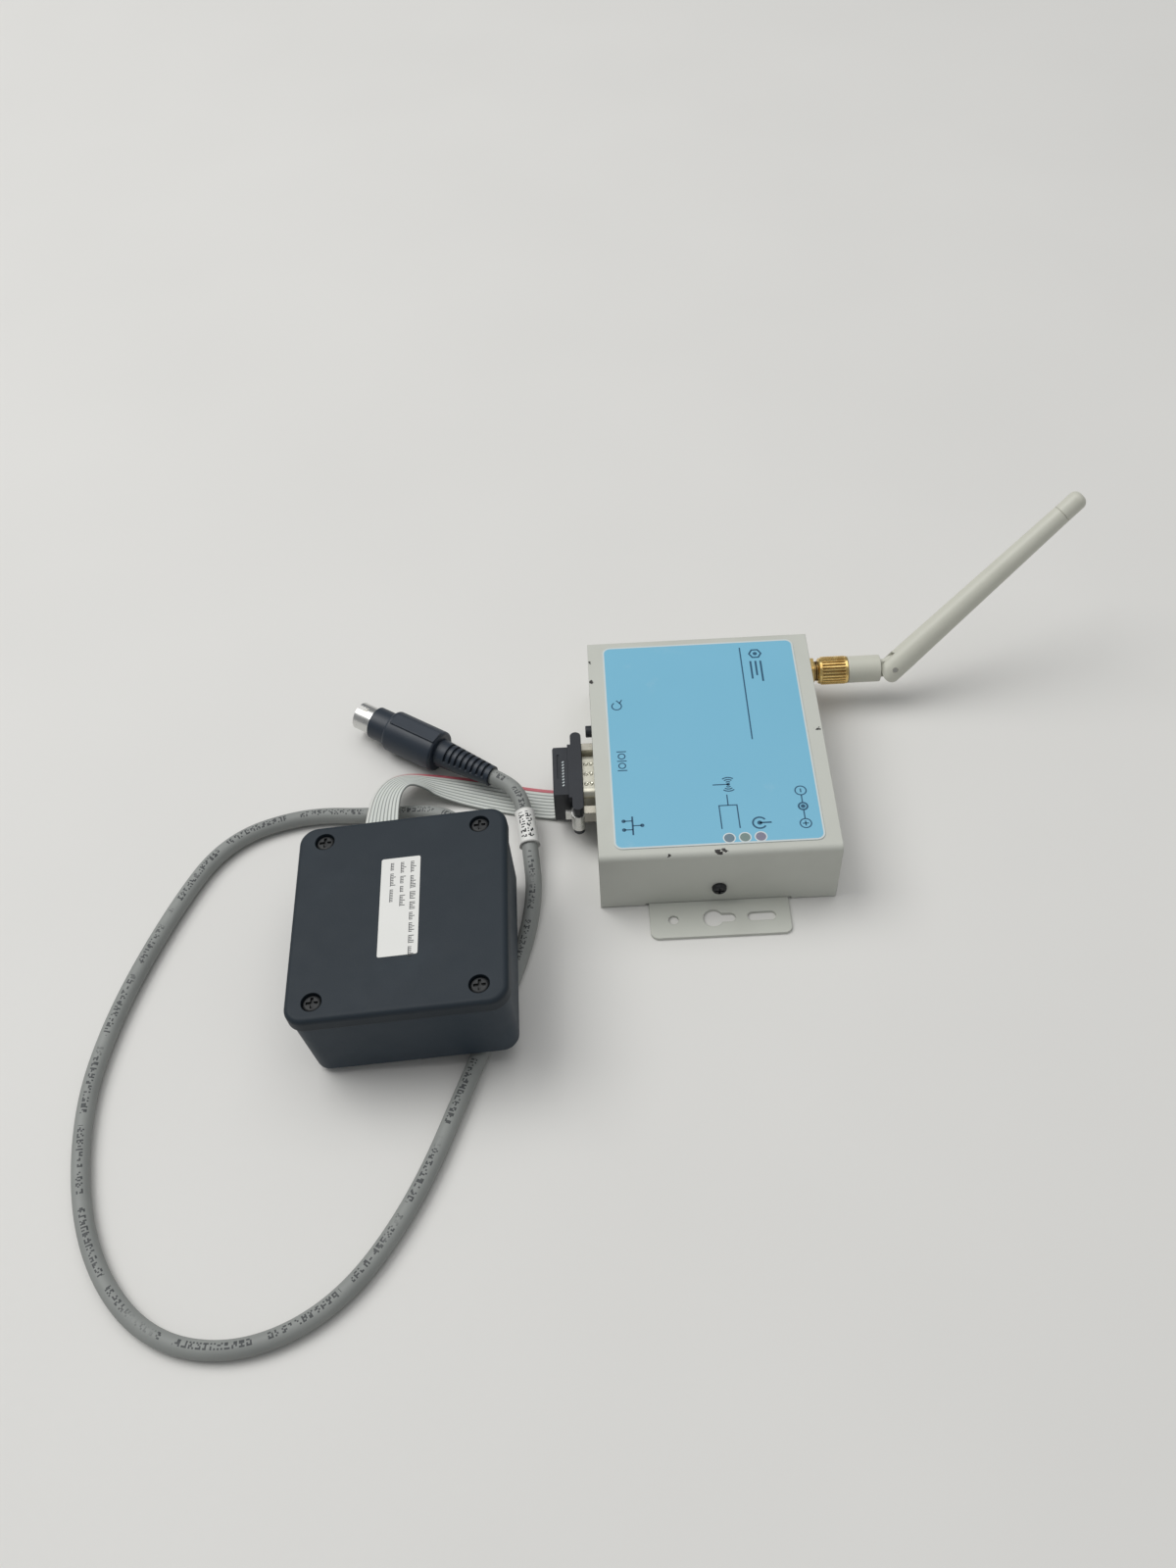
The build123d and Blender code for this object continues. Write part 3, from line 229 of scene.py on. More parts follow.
def smooth_line(points, spacing):
    """A smooth line through a lead's route: an order 3 NURBS spline with the route's points as its controls,
    read as points that stand one spacing apart along it."""
    data = bpy.data.curves.new("route", "CURVE")
    data.dimensions = "3D"
    data.resolution_u = 32
    spline = data.splines.new("NURBS")
    spline.points.add(len(points) - 1)
    spline.points.foreach_set("co", np.column_stack([points, np.ones(len(points))]).ravel())
    spline.order_u = 3
    spline.use_endpoint_u = True
    route = bpy.data.objects.new("route", data)
    mesh = bpy.data.meshes.new_from_object(route)
    line = np.zeros(len(mesh.vertices) * 3)
    mesh.vertices.foreach_get("co", line)
    line = line.reshape(-1, 3)
    bpy.data.meshes.remove(mesh)
    bpy.data.objects.remove(route)
    bpy.data.curves.remove(data)
    run = run_along(line)
    return read_off(np.linspace(0, run[-1], int(run[-1] / spacing) + 1), run, line)


def unit(vectors):
    """Each vector divided by its own length."""
    return vectors / np.linalg.norm(vectors, axis=-1, keepdims=True)


def closed_mesh(name, grid, finish, **readings):
    """A mesh from a grid of points, rows along it and columns round it: columns close on themselves, the
    first and last rows close on their own middles, and faces turn outwards. Readings stay on the points."""
    rows, columns = grid.shape[:2]
    points = np.concatenate([grid.reshape(-1, 3), grid[0].mean(0)[None], grid[-1].mean(0)[None]])
    row, column = np.meshgrid(np.arange(rows - 1), np.arange(columns), indexing="ij")
    here, beside = row * columns + column, row * columns + (column + 1) % columns
    quads = np.stack([here, beside, beside + columns, here + columns], -1).reshape(-1, 4)
    ring = np.arange(columns)
    turned = np.roll(ring, -1)
    last = (rows - 1) * columns
    start_cap = np.stack([turned, ring, np.full(columns, rows * columns)], -1)
    end_cap = np.stack([last + ring, last + turned, np.full(columns, rows * columns + 1)], -1)
    tris = np.concatenate([start_cap, end_cap])
    corner = points[np.concatenate([quads[:, [0, 1, 2]], quads[:, [0, 2, 3]], tris])] - points.mean(0)
    if np.einsum("ij,ij->", corner[:, 0], np.cross(corner[:, 1], corner[:, 2])) < 0:
        quads, tris = quads[:, ::-1], tris[:, ::-1]
    mesh = bpy.data.meshes.new(name)
    mesh.from_pydata(points.tolist(), [], quads.tolist() + tris.tolist())
    mesh.polygons.foreach_set("use_smooth", np.arange(len(mesh.polygons)) < len(quads))
    for key, values in readings.items():
        full = np.concatenate([values.reshape(-1), values[0].mean()[None], values[-1].mean()[None]])
        mesh.attributes.new(key, "FLOAT", "POINT").data.foreach_set("value", full.astype(np.float32))
    mesh.materials.append(finish.material)
    piece = bpy.data.objects.new(name, mesh)
    bpy.context.scene.collection.objects.link(piece)
    return piece


def swept(name, line, side, outline, finish, scale=1.0):
    """An outline carried along a line: each of its points (a, b) stands at line + a * side + b * top, where
    side is made square to the line and top is square to both. The points keep along, across and height."""
    ahead = unit(np.gradient(line, axis=0))
    side = unit(side - ahead * np.einsum("ij,ij->i", side, ahead)[:, None])
    top = np.cross(side, ahead)
    outline = np.asarray(outline) * np.ones((len(line), 1, 1)) * np.reshape(scale, (-1, 1, 1))
    grid = line[:, None] + outline[..., :1] * side[:, None] + outline[..., 1:] * top[:, None]
    along = run_along(line)[:, None] * np.ones(outline.shape[:2])
    return closed_mesh(name, grid, finish, along=along, across=outline[..., 0], height=outline[..., 1])


def circle(radius, count):
    """Points round a circle."""
    turn = np.linspace(0, 2 * pi, count, endpoint=False)
    return radius * np.column_stack([np.cos(turn), np.sin(turn)])


def level_side(line):
    """The level direction square to a line, on its right-hand side."""
    return np.cross(np.gradient(line, axis=0), (0, 0, 1))


cord_r = 2.5 * mm
cord_route = np.array([
    (-76.0, -28.5, 10.2),
    (-76.0, -21.5, 10.2),
    (-78.6, -14.4, 8.2),
    (-83.9, -9.0, 5.6),
    (-91.5, -6.2, 3.4),
    (-105.0, -6.0, 2.5),
    (-128.5, -4.2, 2.5),
    (-152.0, -13.5, 2.5),
    (-165.5, -40.0, 2.5),
    (-177.5, -75.0, 2.5),
    (-181.5, -106.0, 2.5),
    (-174.5, -142.0, 2.5),
    (-156.0, -166.5, 2.5),
    (-131.0, -172.0, 2.5),
    (-106.5, -161.0, 2.5),
    (-88.0, -134.5, 2.5),
    (-74.3, -99.0, 2.5),
    (-59.5, -62.0, 2.5),
    (-55.0, -40.0, 3.2),
    (-56.2, -24.0, 5.2),
    (-57.6, -10.7, 6.8),
    (-59.4, -4.0, 7.2),
    (-62.9, 0.9, 7.0),
    (-67.9, 4.2, 7.0),
]) * mm
cord_step = 1.0 * mm
cord_line = smooth_line(cord_route, cord_step)

jacket = Finish("grey_jacket")
along, across, height = (jacket.reading(name) for name in ("along", "across", "height"))
print_cell = 0.45 * mm
print_half = 2.5 * print_cell
print_repeat = 24 * mm
print_band = (abs(across) < print_half) * (height > 0)
words = (along / print_repeat).math("FRACT") < 0.85
ink = print_band * words * jacket.glyphs(along, across + print_half, print_cell)
worn = jacket.step(jacket.noise(90, 3), 0.3, 0.46)
jacket_grey = jacket.mixed(jacket.noise(60, 4), shade(130, 133, 131), shade(152, 155, 152))
jacket.surface(
    jacket.mixed(ink * worn * 0.9, jacket_grey, shade(58, 61, 64)),
    0.5 + 0.12 * jacket.noise(300),
    relief=jacket.noise(1500, 2) - 0.6 * ink,
    depth=0.04 * mm,
)
round_cord = swept("round_cord", cord_line, level_side(cord_line), circle(cord_r, 28), jacket)
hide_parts("grey_cord")
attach(round_cord, "case")


# Marker sleeve: a thin white heat-shrunk sleeve near the cord's plug, printed with rows of bold black marks.
# It has shrunk unevenly, so it creases lengthwise and its dark ends flare and curl a little.

marker_film = Finish("marker_film")
along, across = marker_film.reading("along"), marker_film.reading("across")
marker_share = (0.936, 0.962)
marker_line = cord_line[int(marker_share[0] * len(cord_line)):int(marker_share[1] * len(cord_line))]
marker_long = len(marker_line) * cord_step
marks = marker_film.glyphs(along, across + 2.2 * mm, 0.44 * mm)
first_mark, last_mark = 1.5 * mm, marker_long - 2.2 * mm
inside = (along > first_mark) * (along < last_mark) * (abs(across) < 2.1 * mm)
ends = 1 - marker_film.step(along, 0.2 * mm, 0.9 * mm) * (
    1 - marker_film.step(along, marker_long - 1.4 * mm, marker_long - 0.7 * mm))
white = marker_film.mixed(marker_film.noise(200), shade(226, 226, 222), shade(240, 240, 237))
white_or_end = marker_film.mixed(0.5 * ends, white, shade(60, 60, 62))
marker_film.surface(
    marker_film.mixed(marks * inside, white_or_end, shade(34, 35, 38)),
    0.38 + 0.15 * marker_film.noise(500),
    relief=marker_film.noise(700, 3),
    depth=0.12 * mm,
)
creases = np.random.default_rng(7).normal(size=(3, 3))
marker_steps = np.linspace(0, 1, 3 * len(marker_line))
marker_fine = read_off(marker_steps, np.linspace(0, 1, len(marker_line)), marker_line)
turns = np.linspace(0, 2 * pi, 40, endpoint=False)
crumple = sum(
    creases[0, k] * np.sin((k + 3) * turns[None] + 9 * creases[1, k] * marker_steps[:, None] + creases[2, k])
    for k in range(3))
flare = np.exp(-marker_steps / 0.06) + np.exp(-(1 - marker_steps) / 0.08)
sleeve_r = cord_r + 0.45 * mm + 0.09 * mm * crumple * (0.5 + flare[:, None]) + 0.25 * mm * flare[:, None]
sleeve_outline = np.stack([sleeve_r * np.cos(turns), sleeve_r * np.sin(turns)], -1)
cord_marker = swept("cord_marker", marker_fine, level_side(marker_fine), sleeve_outline, marker_film)
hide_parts("marker_sleeve")
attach(cord_marker, "case")


# Flat lead: nine conductors in soft grey vinyl, moulded side by side, with a red first wire. It comes out
# under the plug's cover, lies on the table and rises in an arch that turns into the adapter box's back wall.

flat_route = [
    ((-45.9, -4.5, 6.0), (0.0, 1.0, 0.0)),
    ((-45.9, -4.5, 4.0), (0.0, 1.0, 0.0)),
    ((-47.0, -4.3, 1.6), (0.1, 1.0, 0.0)),
    ((-50.0, -3.7, 0.7), (0.2, 0.98, 0.0)),
    ((-61.5, -1.1, 0.6), (0.2, 0.98, 0.0)),
    ((-75.0, 2.9, 0.8), (0.15, 0.99, 0.0)),
    ((-85.5, 4.7, 2.8), (0.0, 0.98, -0.2)),
    ((-92.0, 4.8, 6.2), (-0.2, 0.89, -0.42)),
    ((-97.3, 2.4, 9.1), (-0.45, 0.75, -0.48)),
    ((-100.6, -3.6, 10.5), (-0.72, 0.53, -0.43)),
    ((-101.6, -12.0, 10.8), (-0.9, 0.25, -0.34)),
    ((-101.7, -22.0, 10.6), (-0.98, 0.06, -0.17)),
    ((-101.6, -35.6, 10.5), (-0.995, 0.0, -0.096)),
]
flat_points = np.array([point for point, _ in flat_route]) * mm
flat_across = np.array([across for _, across in flat_route])
flat_step = 0.6 * mm
flat_line = smooth_line(flat_points, flat_step)
edge_line = smooth_line(flat_points + flat_across * 5 * mm, flat_step)
edge_even = read_off(np.linspace(0, 1, len(flat_line)), np.linspace(0, 1, len(edge_line)), edge_line)
conductors = 9
conductor_pitch = 1.27 * mm
conductor_r = 0.45 * mm
web_half = 0.2 * mm
flat_half = conductors * conductor_pitch / 2
sweep_end = flat_half - 0.05 * mm
sweep_x = np.linspace(-sweep_end, sweep_end, 8 * conductors + 1)
from_wire = (sweep_x + flat_half) % conductor_pitch - conductor_pitch / 2
ridge = np.sqrt(np.maximum(conductor_r**2 - (from_wire * 0.72) ** 2, web_half**2))
flat_outline = np.concatenate(
    [np.column_stack([sweep_x, -ridge]), np.column_stack([sweep_x[::-1], ridge[::-1]])])

vinyl = Finish("flat_cable_vinyl")
along, across = vinyl.reading("along"), vinyl.reading("across")
# Painted shade: the dips between the conductors are painted dark grey and the ridges pale, for the shade and
# light that fall on them.
groove = abs((across / conductor_pitch + 0.5).math("FRACT") - 0.5) * 2
painted_groove_shade = vinyl.step(groove, 0.5, 0.9)
first_wire = (across > flat_half - conductor_pitch) * (1 - 0.96 * vinyl.step(along, 46 * mm, 59 * mm))
vinyl_with_painted_shade = vinyl.mixed(painted_groove_shade, shade(214, 218, 213), shade(136, 140, 138))
cloudy = vinyl.mixed(vinyl.noise(150) * 0.25, vinyl_with_painted_shade, shade(200, 204, 200))
vinyl.surface(
    vinyl.mixed(first_wire * 0.85, cloudy, shade(196, 62, 84)),
    0.36 + 0.12 * vinyl.noise(260),
    relief=vinyl.noise(1200, 2),
    depth=0.02 * mm,
    Subsurface_Weight=0.25,
    Subsurface_Radius=(0.8 * mm, 0.8 * mm, 0.7 * mm),
    Subsurface_Scale=1.0,
)
flat_lead = swept("flat_lead", flat_line, edge_even - flat_line, flat_outline, vinyl)
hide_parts("ribbon_cable")
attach(flat_lead, "case")


# Case: a folded steel chassis with two mounting flanges, under a folded steel cover. Both are sprayed with a
# pale grey-beige textured paint, chipped in a few places at the bends. Two dark screws hold the cover.

def dress(finish, *names):
    """Gives CAD pieces a finish, in place of the plain one that they came with."""
    for name in names:
        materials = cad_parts[name].data.materials
        materials.clear()
        materials.append(finish.material)


case_paint = Finish("case_paint")
spots = case_paint.node("TexCoord", out="Object")
chip_places = [
    ((-0.6, -42.7, 25.0), 0.95),
    ((1.2, -42.2, 25.0), 0.6),
    ((-15.0, -43.4, 24.6), 0.45),
    ((-34.9, 26.0, 24.9), 0.6),
    ((-34.8, 34.5, 24.8), 0.4),
    ((33.9, 2.0, 25.0), 0.5),
]
chipped = 0.0
for (x, y, z), radius in chip_places:
    distance = case_paint.node(
        "VectorMath", {"operation": "DISTANCE"}, {0: spots, 1: (x * mm, y * mm, z * mm)}, "Value")
    ragged = distance + 3.6 * mm * (case_paint.noise(1100, 4) - 0.5)
    chipped = (ragged < radius * mm) + chipped
dusty = case_paint.step(case_paint.noise(35, 4), 0.45, 0.75)
paint_colour = case_paint.mixed(0.5 * dusty, shade(199, 201, 193), shade(187, 188, 180))
case_paint.surface(
    case_paint.mixed(chipped > 0.5, paint_colour, shade(52, 50, 48)),
    0.46 + 0.12 * case_paint.noise(120),
    relief=case_paint.noise(2600, 2) - 1.5 * (chipped > 0.5),
    depth=0.03 * mm,
    edge=0.35 * mm,
)
dress(case_paint, "chassis", "top_cover")

dark_screw = Finish("black_oxide_screw")
dark_screw.surface(
    dark_screw.mixed(dark_screw.noise(700), shade(22, 24, 26), shade(46, 48, 50)),
    0.42 + 0.25 * dark_screw.noise(900),
    relief=dark_screw.noise(2500),
    depth=0.02 * mm,
    edge=0.12 * mm,
    Metallic=0.15,
)
dress(dark_screw, "cover_screws")


# Overlay: a blue satin film with a thin pale rim. Its printed signs are a plain mark, a long rule, a reset
# arrow, bits, a network tree, radio waves with a fork to the lamps, a power sign and the plug's polarity.

film_low, film_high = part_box("overlay_label")
film = Finish("overlay_film")
film_x, film_y, _ = film.axes()
rim_width = 0.55 * mm
corner_r = 2.5 * mm
half_x = (film_high.x - film_low.x) / 2
half_y = (film_high.y - film_low.y) / 2
past_x = (abs(film_x) - (half_x - corner_r)).math("MAXIMUM", 0.0)
past_y = (abs(film_y) - (half_y - corner_r)).math("MAXIMUM", 0.0)
past = (past_x * past_x + past_y * past_y).math("SQRT")
rim = past > corner_r - rim_width
film_blue = film.mixed(film.noise(18, 3), shade(117, 184, 212), shade(125, 190, 218))
scuffed = film.step(film.noise(90, 5), 0.62, 0.8)
film.surface(
    film.mixed(rim, film.mixed(0.12 * scuffed, film_blue, shade(205, 218, 224)), shade(206, 214, 214)),
    0.34 + 0.16 * film.noise(70, 4),
    relief=film.noise(3200, 1),
    depth=0.012 * mm,
    edge=0.12 * mm,
)
dress(film, "overlay_label")


def stroke(points, width, closed=False):
    """A printed line of one width: the two sides of a path, set out along the bisectors of its corners."""
    points = np.asarray(points, float)
    after = np.roll(points, -1, 0) - points
    before = points - np.roll(points, 1, 0)
    if not closed:
        after[-1] = before[-1]
        before[0] = after[0]
    ahead = unit(unit(after) + unit(before))
    out = np.column_stack([-ahead[:, 1], ahead[:, 0]])
    reach = width / 2 / np.maximum(np.einsum("ij,ij->i", ahead, unit(after)), 0.4)[:, None]
    return points + out * reach, points - out * reach, closed


def arc(x, y, radius, start, end, count=24):
    """Points on an arc between two angles in degrees."""
    turn = np.radians(np.linspace(start, end, count))
    return np.column_stack([x + radius * np.cos(turn), y + radius * np.sin(turn)])


def ring(x, y, radius, width):
    """A printed ring."""
    return stroke(arc(x, y, radius, 0, 360, 33)[:-1], width, closed=True)


def dot(x, y, radius):
    """A printed filled dot."""
    return ring(x, y, radius * 0.51, radius * 0.98)


def bar(x0, y0, x1, y1, width):
    """A straight printed line."""
    return stroke([(x0, y0), (x1, y1)], width)


def printed(name, strokes, origin, axes, ink):
    """Strokes in millimetres laid on a surface: x and y run along the first two axes from the origin, and
    each stroke is a closed plate that stands up along the third."""
    raised = 0.025
    points, faces, count = [], [], 0
    for left, right, closed in strokes:
        n = len(left)
        flat = np.concatenate([right, left])
        low = np.column_stack([flat, np.zeros(2 * n)])
        high = np.column_stack([flat, np.full(2 * n, raised)])
        points.append(np.concatenate([low, high]))
        i = np.arange(n if closed else n - 1)
        j = (i + 1) % n
        top = np.stack([2 * n + i, 2 * n + j, 3 * n + j, 3 * n + i], -1)
        base = np.stack([i, n + i, n + j, j], -1)
        right_wall = np.stack([i, j, 2 * n + j, 2 * n + i], -1)
        left_wall = np.stack([n + j, n + i, 3 * n + i, 3 * n + j], -1)
        walls = [top, base, right_wall, left_wall]
        if not closed:
            walls.append(np.array([[0, 2 * n, 3 * n, n], [n - 1, 2 * n - 1, 4 * n - 1, 3 * n - 1]]))
        faces.append(np.concatenate(walls) + count)
        count += 4 * n
    mesh = bpy.data.meshes.new(name)
    placed = np.asarray(origin) + np.concatenate(points) * mm @ np.asarray(axes, float)
    mesh.from_pydata(placed.tolist(), [], np.concatenate(faces).tolist())
    mesh.materials.append(ink.material)
    piece = bpy.data.objects.new(name, mesh)
    bpy.context.scene.collection.objects.link(piece)
    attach(piece, "case")
    return piece


def printing_ink(name, first, second, rough, grain=400):
    """Dry printing ink: two close tones in fine clouds, and a gloss that shifts a little."""
    dry = Finish(name)
    return dry.surface(dry.mixed(dry.noise(grain), first, second), rough + 0.1 * dry.noise(300))


teal_ink = printing_ink("teal_ink", shade(22, 74, 104), shade(38, 92, 122), 0.35)
pale_ink = printing_ink("pale_ink", shade(200, 210, 212), shade(220, 228, 230), 0.4)
thin, thick = 0.38, 0.54
plain_mark = [
    stroke(arc(18.2, 34.6, 1.9, 0, 360, 7)[:-1], thick, closed=True),
    dot(18.2, 34.6, 0.7),
    bar(19.6, 31.4, 19.6, 22.6, 0.62),
    bar(18.0, 31.4, 18.0, 25.2, 0.62),
    bar(16.4, 31.4, 16.4, 23.8, 0.62),
]
rule = [bar(13.5, 37.5, 13.5, -1.2, 0.42)]
reset_arrow = [
    stroke(arc(-27.3, 15.0, 1.5, 120, 420, 28), thin),
    stroke([(-27.35, 17.35), (-26.3, 16.25), (-25.6, 17.6)], thin),
]
bits = [bar(-28.3, y, -25.4, y, thin) for y in (-3.6, -7.3, -11.0)]
bits += [ring(-26.85, y, 1.02, thin) for y in (-5.45, -9.15)]
tree = [
    bar(-25.0, -28.6, -25.0, -35.4, thick),
    bar(-25.0, -32.0, -22.4, -32.0, thin),
    bar(-25.0, -30.2, -27.5, -30.2, thin),
    bar(-25.0, -33.4, -27.5, -33.4, thin),
    dot(-22.2, -32.0, 0.62),
    dot(-27.6, -30.2, 0.62),
    dot(-27.6, -33.4, 0.62),
]
waves = [bar(-0.3, -18.3, 4.6, -18.3, thin), dot(4.4, -18.3, 0.55)]
for radius in (1.0, 1.8, 2.6):
    waves.append(stroke(arc(4.4, -18.3, radius, 52, 128, 12), thin))
    waves.append(stroke(arc(4.4, -18.3, radius, 232, 308, 12), thin))
fork = [
    bar(3.6, -22.2, 3.6, -26.2, thin),
    stroke([(1.0, -34.8), (0.9, -26.2), (6.2, -26.2), (6.3, -34.8)], thin),
]
power_sign = [
    stroke(arc(12.2, -33.2, 2.0, 35, 325, 28), thick),
    dot(12.2, -33.2, 0.75),
    bar(12.2, -33.2, 15.7, -33.2, thick),
]
polarity = [
    ring(25.6, -22.0, 1.65, thin),
    bar(25.6, -21.3, 25.6, -22.7, thin),
    bar(25.6, -23.65, 25.6, -26.4, thin),
    ring(25.6, -27.9, 1.3, thick),
    dot(25.6, -27.9, 0.7),
    bar(25.6, -29.4, 25.6, -32.55, thin),
    ring(25.6, -34.2, 1.65, thin),
    bar(25.6, -33.3, 25.6, -35.1, thin),
    bar(24.7, -34.2, 26.5, -34.2, thin),
]
film_top = (0, 0, film_high.z)
upright = np.eye(3)
printed("overlay_signs", plain_mark + rule + reset_arrow + bits + tree + waves + fork + power_sign + polarity,
        film_top, upright, teal_ink)
pipe_low, pipe_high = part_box("light_pipes")
pipe_r = (pipe_high.y - pipe_low.y) / 2
pipe_y = (pipe_high.y + pipe_low.y) / 2
pipe_x = np.linspace(pipe_low.x + pipe_r, pipe_high.x - pipe_r, 3)
printed("lamp_rings", [ring(x / mm, pipe_y / mm, pipe_r / mm + 0.2, 0.36) for x in pipe_x],
        film_top, upright, pale_ink)

lamp_window = Finish("lamp_window")
window_x, _, _ = lamp_window.axes()
grey_or_green = lamp_window.mixed(window_x > 5 * mm, shade(104, 128, 142), shade(118, 140, 134))
window_colour = lamp_window.mixed(window_x > 9.7 * mm, grey_or_green, shade(128, 124, 146))
lamp_window.surface(
    lamp_window.mixed(0.3 * lamp_window.noise(600), window_colour, shade(90, 104, 112)),
    0.3 + 0.1 * lamp_window.noise(500),
    relief=lamp_window.noise(900),
    depth=0.03 * mm,
    Coat_Weight=0.3,
)
dress(lamp_window, "light_pipes")


# Inside the case: a green board on four brass standoffs, with a radio board under a tin can, black resin
# chips, aluminium capacitors, a line transformer and three lamps. Steel screws hold the board down.

board_green = Finish("green_board")
board_place = board_green.node("TexCoord", out="Object")
tracks = board_green.node(
    "TexVoronoi", {"distance": "MANHATTAN"}, {"Vector": board_place, "Scale": 260.0}, "Distance")
board_green.surface(
    board_green.mixed(board_green.step(tracks, 0.3, 0.34), shade(24, 92, 60), shade(16, 68, 46)),
    0.32 + 0.12 * board_green.noise(300),
    relief=board_green.step(tracks, 0.3, 0.34),
    depth=0.03 * mm,
)
dress(board_green, "main_board", "radio_board", "adapter_board")

chip_resin = Finish("chip_resin")
chip_resin.surface(
    chip_resin.mixed(chip_resin.noise(800), shade(28, 28, 30), shade(44, 44, 46)),
    0.55 + 0.15 * chip_resin.noise(900),
    relief=chip_resin.noise(4000),
    depth=0.02 * mm,
    edge=0.15 * mm,
)
dress(chip_resin, "processor_chip", "memory_chips", "line_transformer", "adapter_parts")


def plated(name, dull, bright, rough, edge):
    """Plated metal: two tones in slow clouds, fingermarks that dull it and a very fine drawn grain."""
    metal = Finish(name)
    smears = metal.step(metal.noise(140, 5), 0.4, 0.7)
    place = metal.node("TexCoord", out="Object")
    grain = metal.node("Mapping", {}, {"Vector": place, "Scale": (0.12, 1.0, 1.0)})
    return metal.surface(
        metal.mixed(metal.noise(60, 3), dull, bright),
        rough + 0.14 * smears + 0.06 * metal.noise(2000, 2, grain),
        relief=metal.noise(2600, 2, grain),
        depth=0.008 * mm,
        edge=edge,
        Metallic=1.0,
    )


tin = plated("tinned_steel", shade(188, 186, 178), shade(214, 213, 206), 0.24, 0.12 * mm)
brass = plated("brass", shade(186, 148, 78), shade(214, 178, 104), 0.3, 0.1 * mm)
dress(tin, "radio_shield", "board_screws", "serial_port_pins", "power_jack_pin", "plug_pins", "reset_switch")
dress(brass, "board_standoffs", "antenna_element", "ethernet_contacts", "ribbon_plug_contacts")

can_wrap = Finish("capacitor_can")
_, _, can_z = can_wrap.axes()
can_top = can_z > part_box("capacitors")[1].z - 0.2 * mm
can_wrap.surface(
    can_wrap.mixed(can_top, can_wrap.mixed(can_wrap.noise(300), shade(34, 36, 60), shade(44, 46, 74)),
                   shade(198, 198, 196)),
    0.32 + 0.1 * can_wrap.noise(400),
    Metallic=can_top * 0.9,
)
dress(can_wrap, "capacitors")

lamp_body = Finish("lamp_body")
lamp_body.surface(lamp_body.mixed(lamp_body.noise(900), shade(206, 204, 190), shade(228, 226, 214)),
                  0.4 + 0.1 * lamp_body.noise(700))
dress(lamp_body, "status_leds", "adapter_spacers")


# Black mouldings: the network jack, the power jack, the port's insulator, the reset button and the flat
# lead's plug are glass-filled nylon or ABS, satin black with a fine mould grain and softly rounded edges. A
# row of pale slanting ticks is printed on the plug's cover.

def moulded(name, colour, worn_colour, rough, grain, edge, shine=0.5):
    """Moulded plastic: slow shifts of tone, paler rubbed patches, and a fine grain of the given depth. Shine
    is how strongly it mirrors, and half is the usual share."""
    plastic = Finish(name)
    rubbed = plastic.step(plastic.noise(55, 5), 0.52, 0.78)
    lint = plastic.noise(2400, 1) > 0.79
    tone = plastic.mixed(plastic.noise(24, 2) * 0.4, colour, worn_colour)
    return plastic.surface(
        plastic.mixed(0.45 * rubbed + 0.3 * lint, tone, worn_colour),
        rough + 0.12 * plastic.noise(160, 4),
        relief=plastic.noise(1900, 3),
        depth=grain,
        edge=edge,
        Specular_IOR_Level=shine,
    )


black_nylon = moulded("black_nylon", shade(27, 31, 38), shade(47, 53, 62), 0.42, 0.03 * mm, 0.25 * mm)
dress(black_nylon, "ethernet_jack", "power_jack", "serial_port_body", "reset_button", "ribbon_plug_body",
      "ribbon_plug_cover", "ribbon_header")
cover_low, cover_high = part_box("ribbon_plug_cover")
ticks_from_edge, tick_pitch = 3.2, 1.15
tick_x = cover_low.x / mm + ticks_from_edge
tick_y = (cover_low.y + cover_high.y) / 2 / mm
plug_ticks = [bar(tick_x - 0.3, tick_y + k * tick_pitch - 0.25, tick_x + 0.3, tick_y + k * tick_pitch + 0.25,
                  0.34) for k in range(-5, 4)]
printed("plug_ticks", plug_ticks, (0, 0, cover_high.z), upright, pale_ink)


# Serial port: a drawn tin-plated steel shell with three pairs of dimples pressed into its upper side, between
# two hexagonal jack posts of nickel-plated steel. The flat lead's plug has the smaller shell that fits in it.

port_shell = plated("port_shell_plate", shade(196, 193, 178), shade(222, 220, 206), 0.26, 0.15 * mm)
nickel = plated("nickel_plate", shade(176, 172, 158), shade(214, 210, 198), 0.22, 0.15 * mm)
dress(port_shell, "serial_port_shell", "ribbon_plug_shell")
dress(nickel, "jack_posts")
bright_clip = plated("clip_steel", shade(188, 188, 184), shade(222, 222, 220), 0.16, 0.12 * mm)
dress(bright_clip, "ribbon_plug_clip")


def revolved(name, origin, axis, profile, finish, count=48):
    """A profile of (distance along, radius) pairs turned round an axis that starts at the origin."""
    axis = unit(np.asarray(axis, float))
    spare = np.array((0.0, 0.0, 1.0)) if abs(axis[2]) < 0.9 else np.array((1.0, 0.0, 0.0))
    side = unit(np.cross(axis, spare))
    top = np.cross(side, axis)
    turn = np.linspace(0, 2 * pi, count, endpoint=False)
    around = np.cos(turn)[:, None] * side + np.sin(turn)[:, None] * top
    profile = np.asarray(profile, float)
    grid = np.asarray(origin) + profile[:, None, :1] * axis + profile[:, None, 1:] * around[None]
    return closed_mesh(name, grid, finish)


inner_low, inner_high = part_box("ribbon_plug_shell")
port_low, port_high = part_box("serial_port_shell")
port_wall_and_fit = 0.65 * mm
mouth_to_dimples = 1.75 * mm
dimple_r, pair_pitch = 0.72, 3.9
shell_top = inner_high.z + port_wall_and_fit
dimple_x = port_low.x + mouth_to_dimples
port_middle = (inner_low.y + inner_high.y) / 2
dimple = [(-0.1, dimple_r), (0.1, dimple_r), (0.22, 0.6), (0.22, 0.44), (0.02, 0.3), (0.0, 0.1)]
pair_places = (-pair_pitch, 0.0, pair_pitch)
dimple_spots = [(across, offset) for offset in pair_places for across in (-dimple_r, dimple_r)]
for number, (across, offset) in enumerate(dimple_spots, 1):
    place = (dimple_x + across * mm, port_middle + offset * mm, shell_top)
    pressed = revolved(f"port_dimple_{number}", place, (0, 0, 1), np.array(dimple) * mm, port_shell)
    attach(pressed, "case")


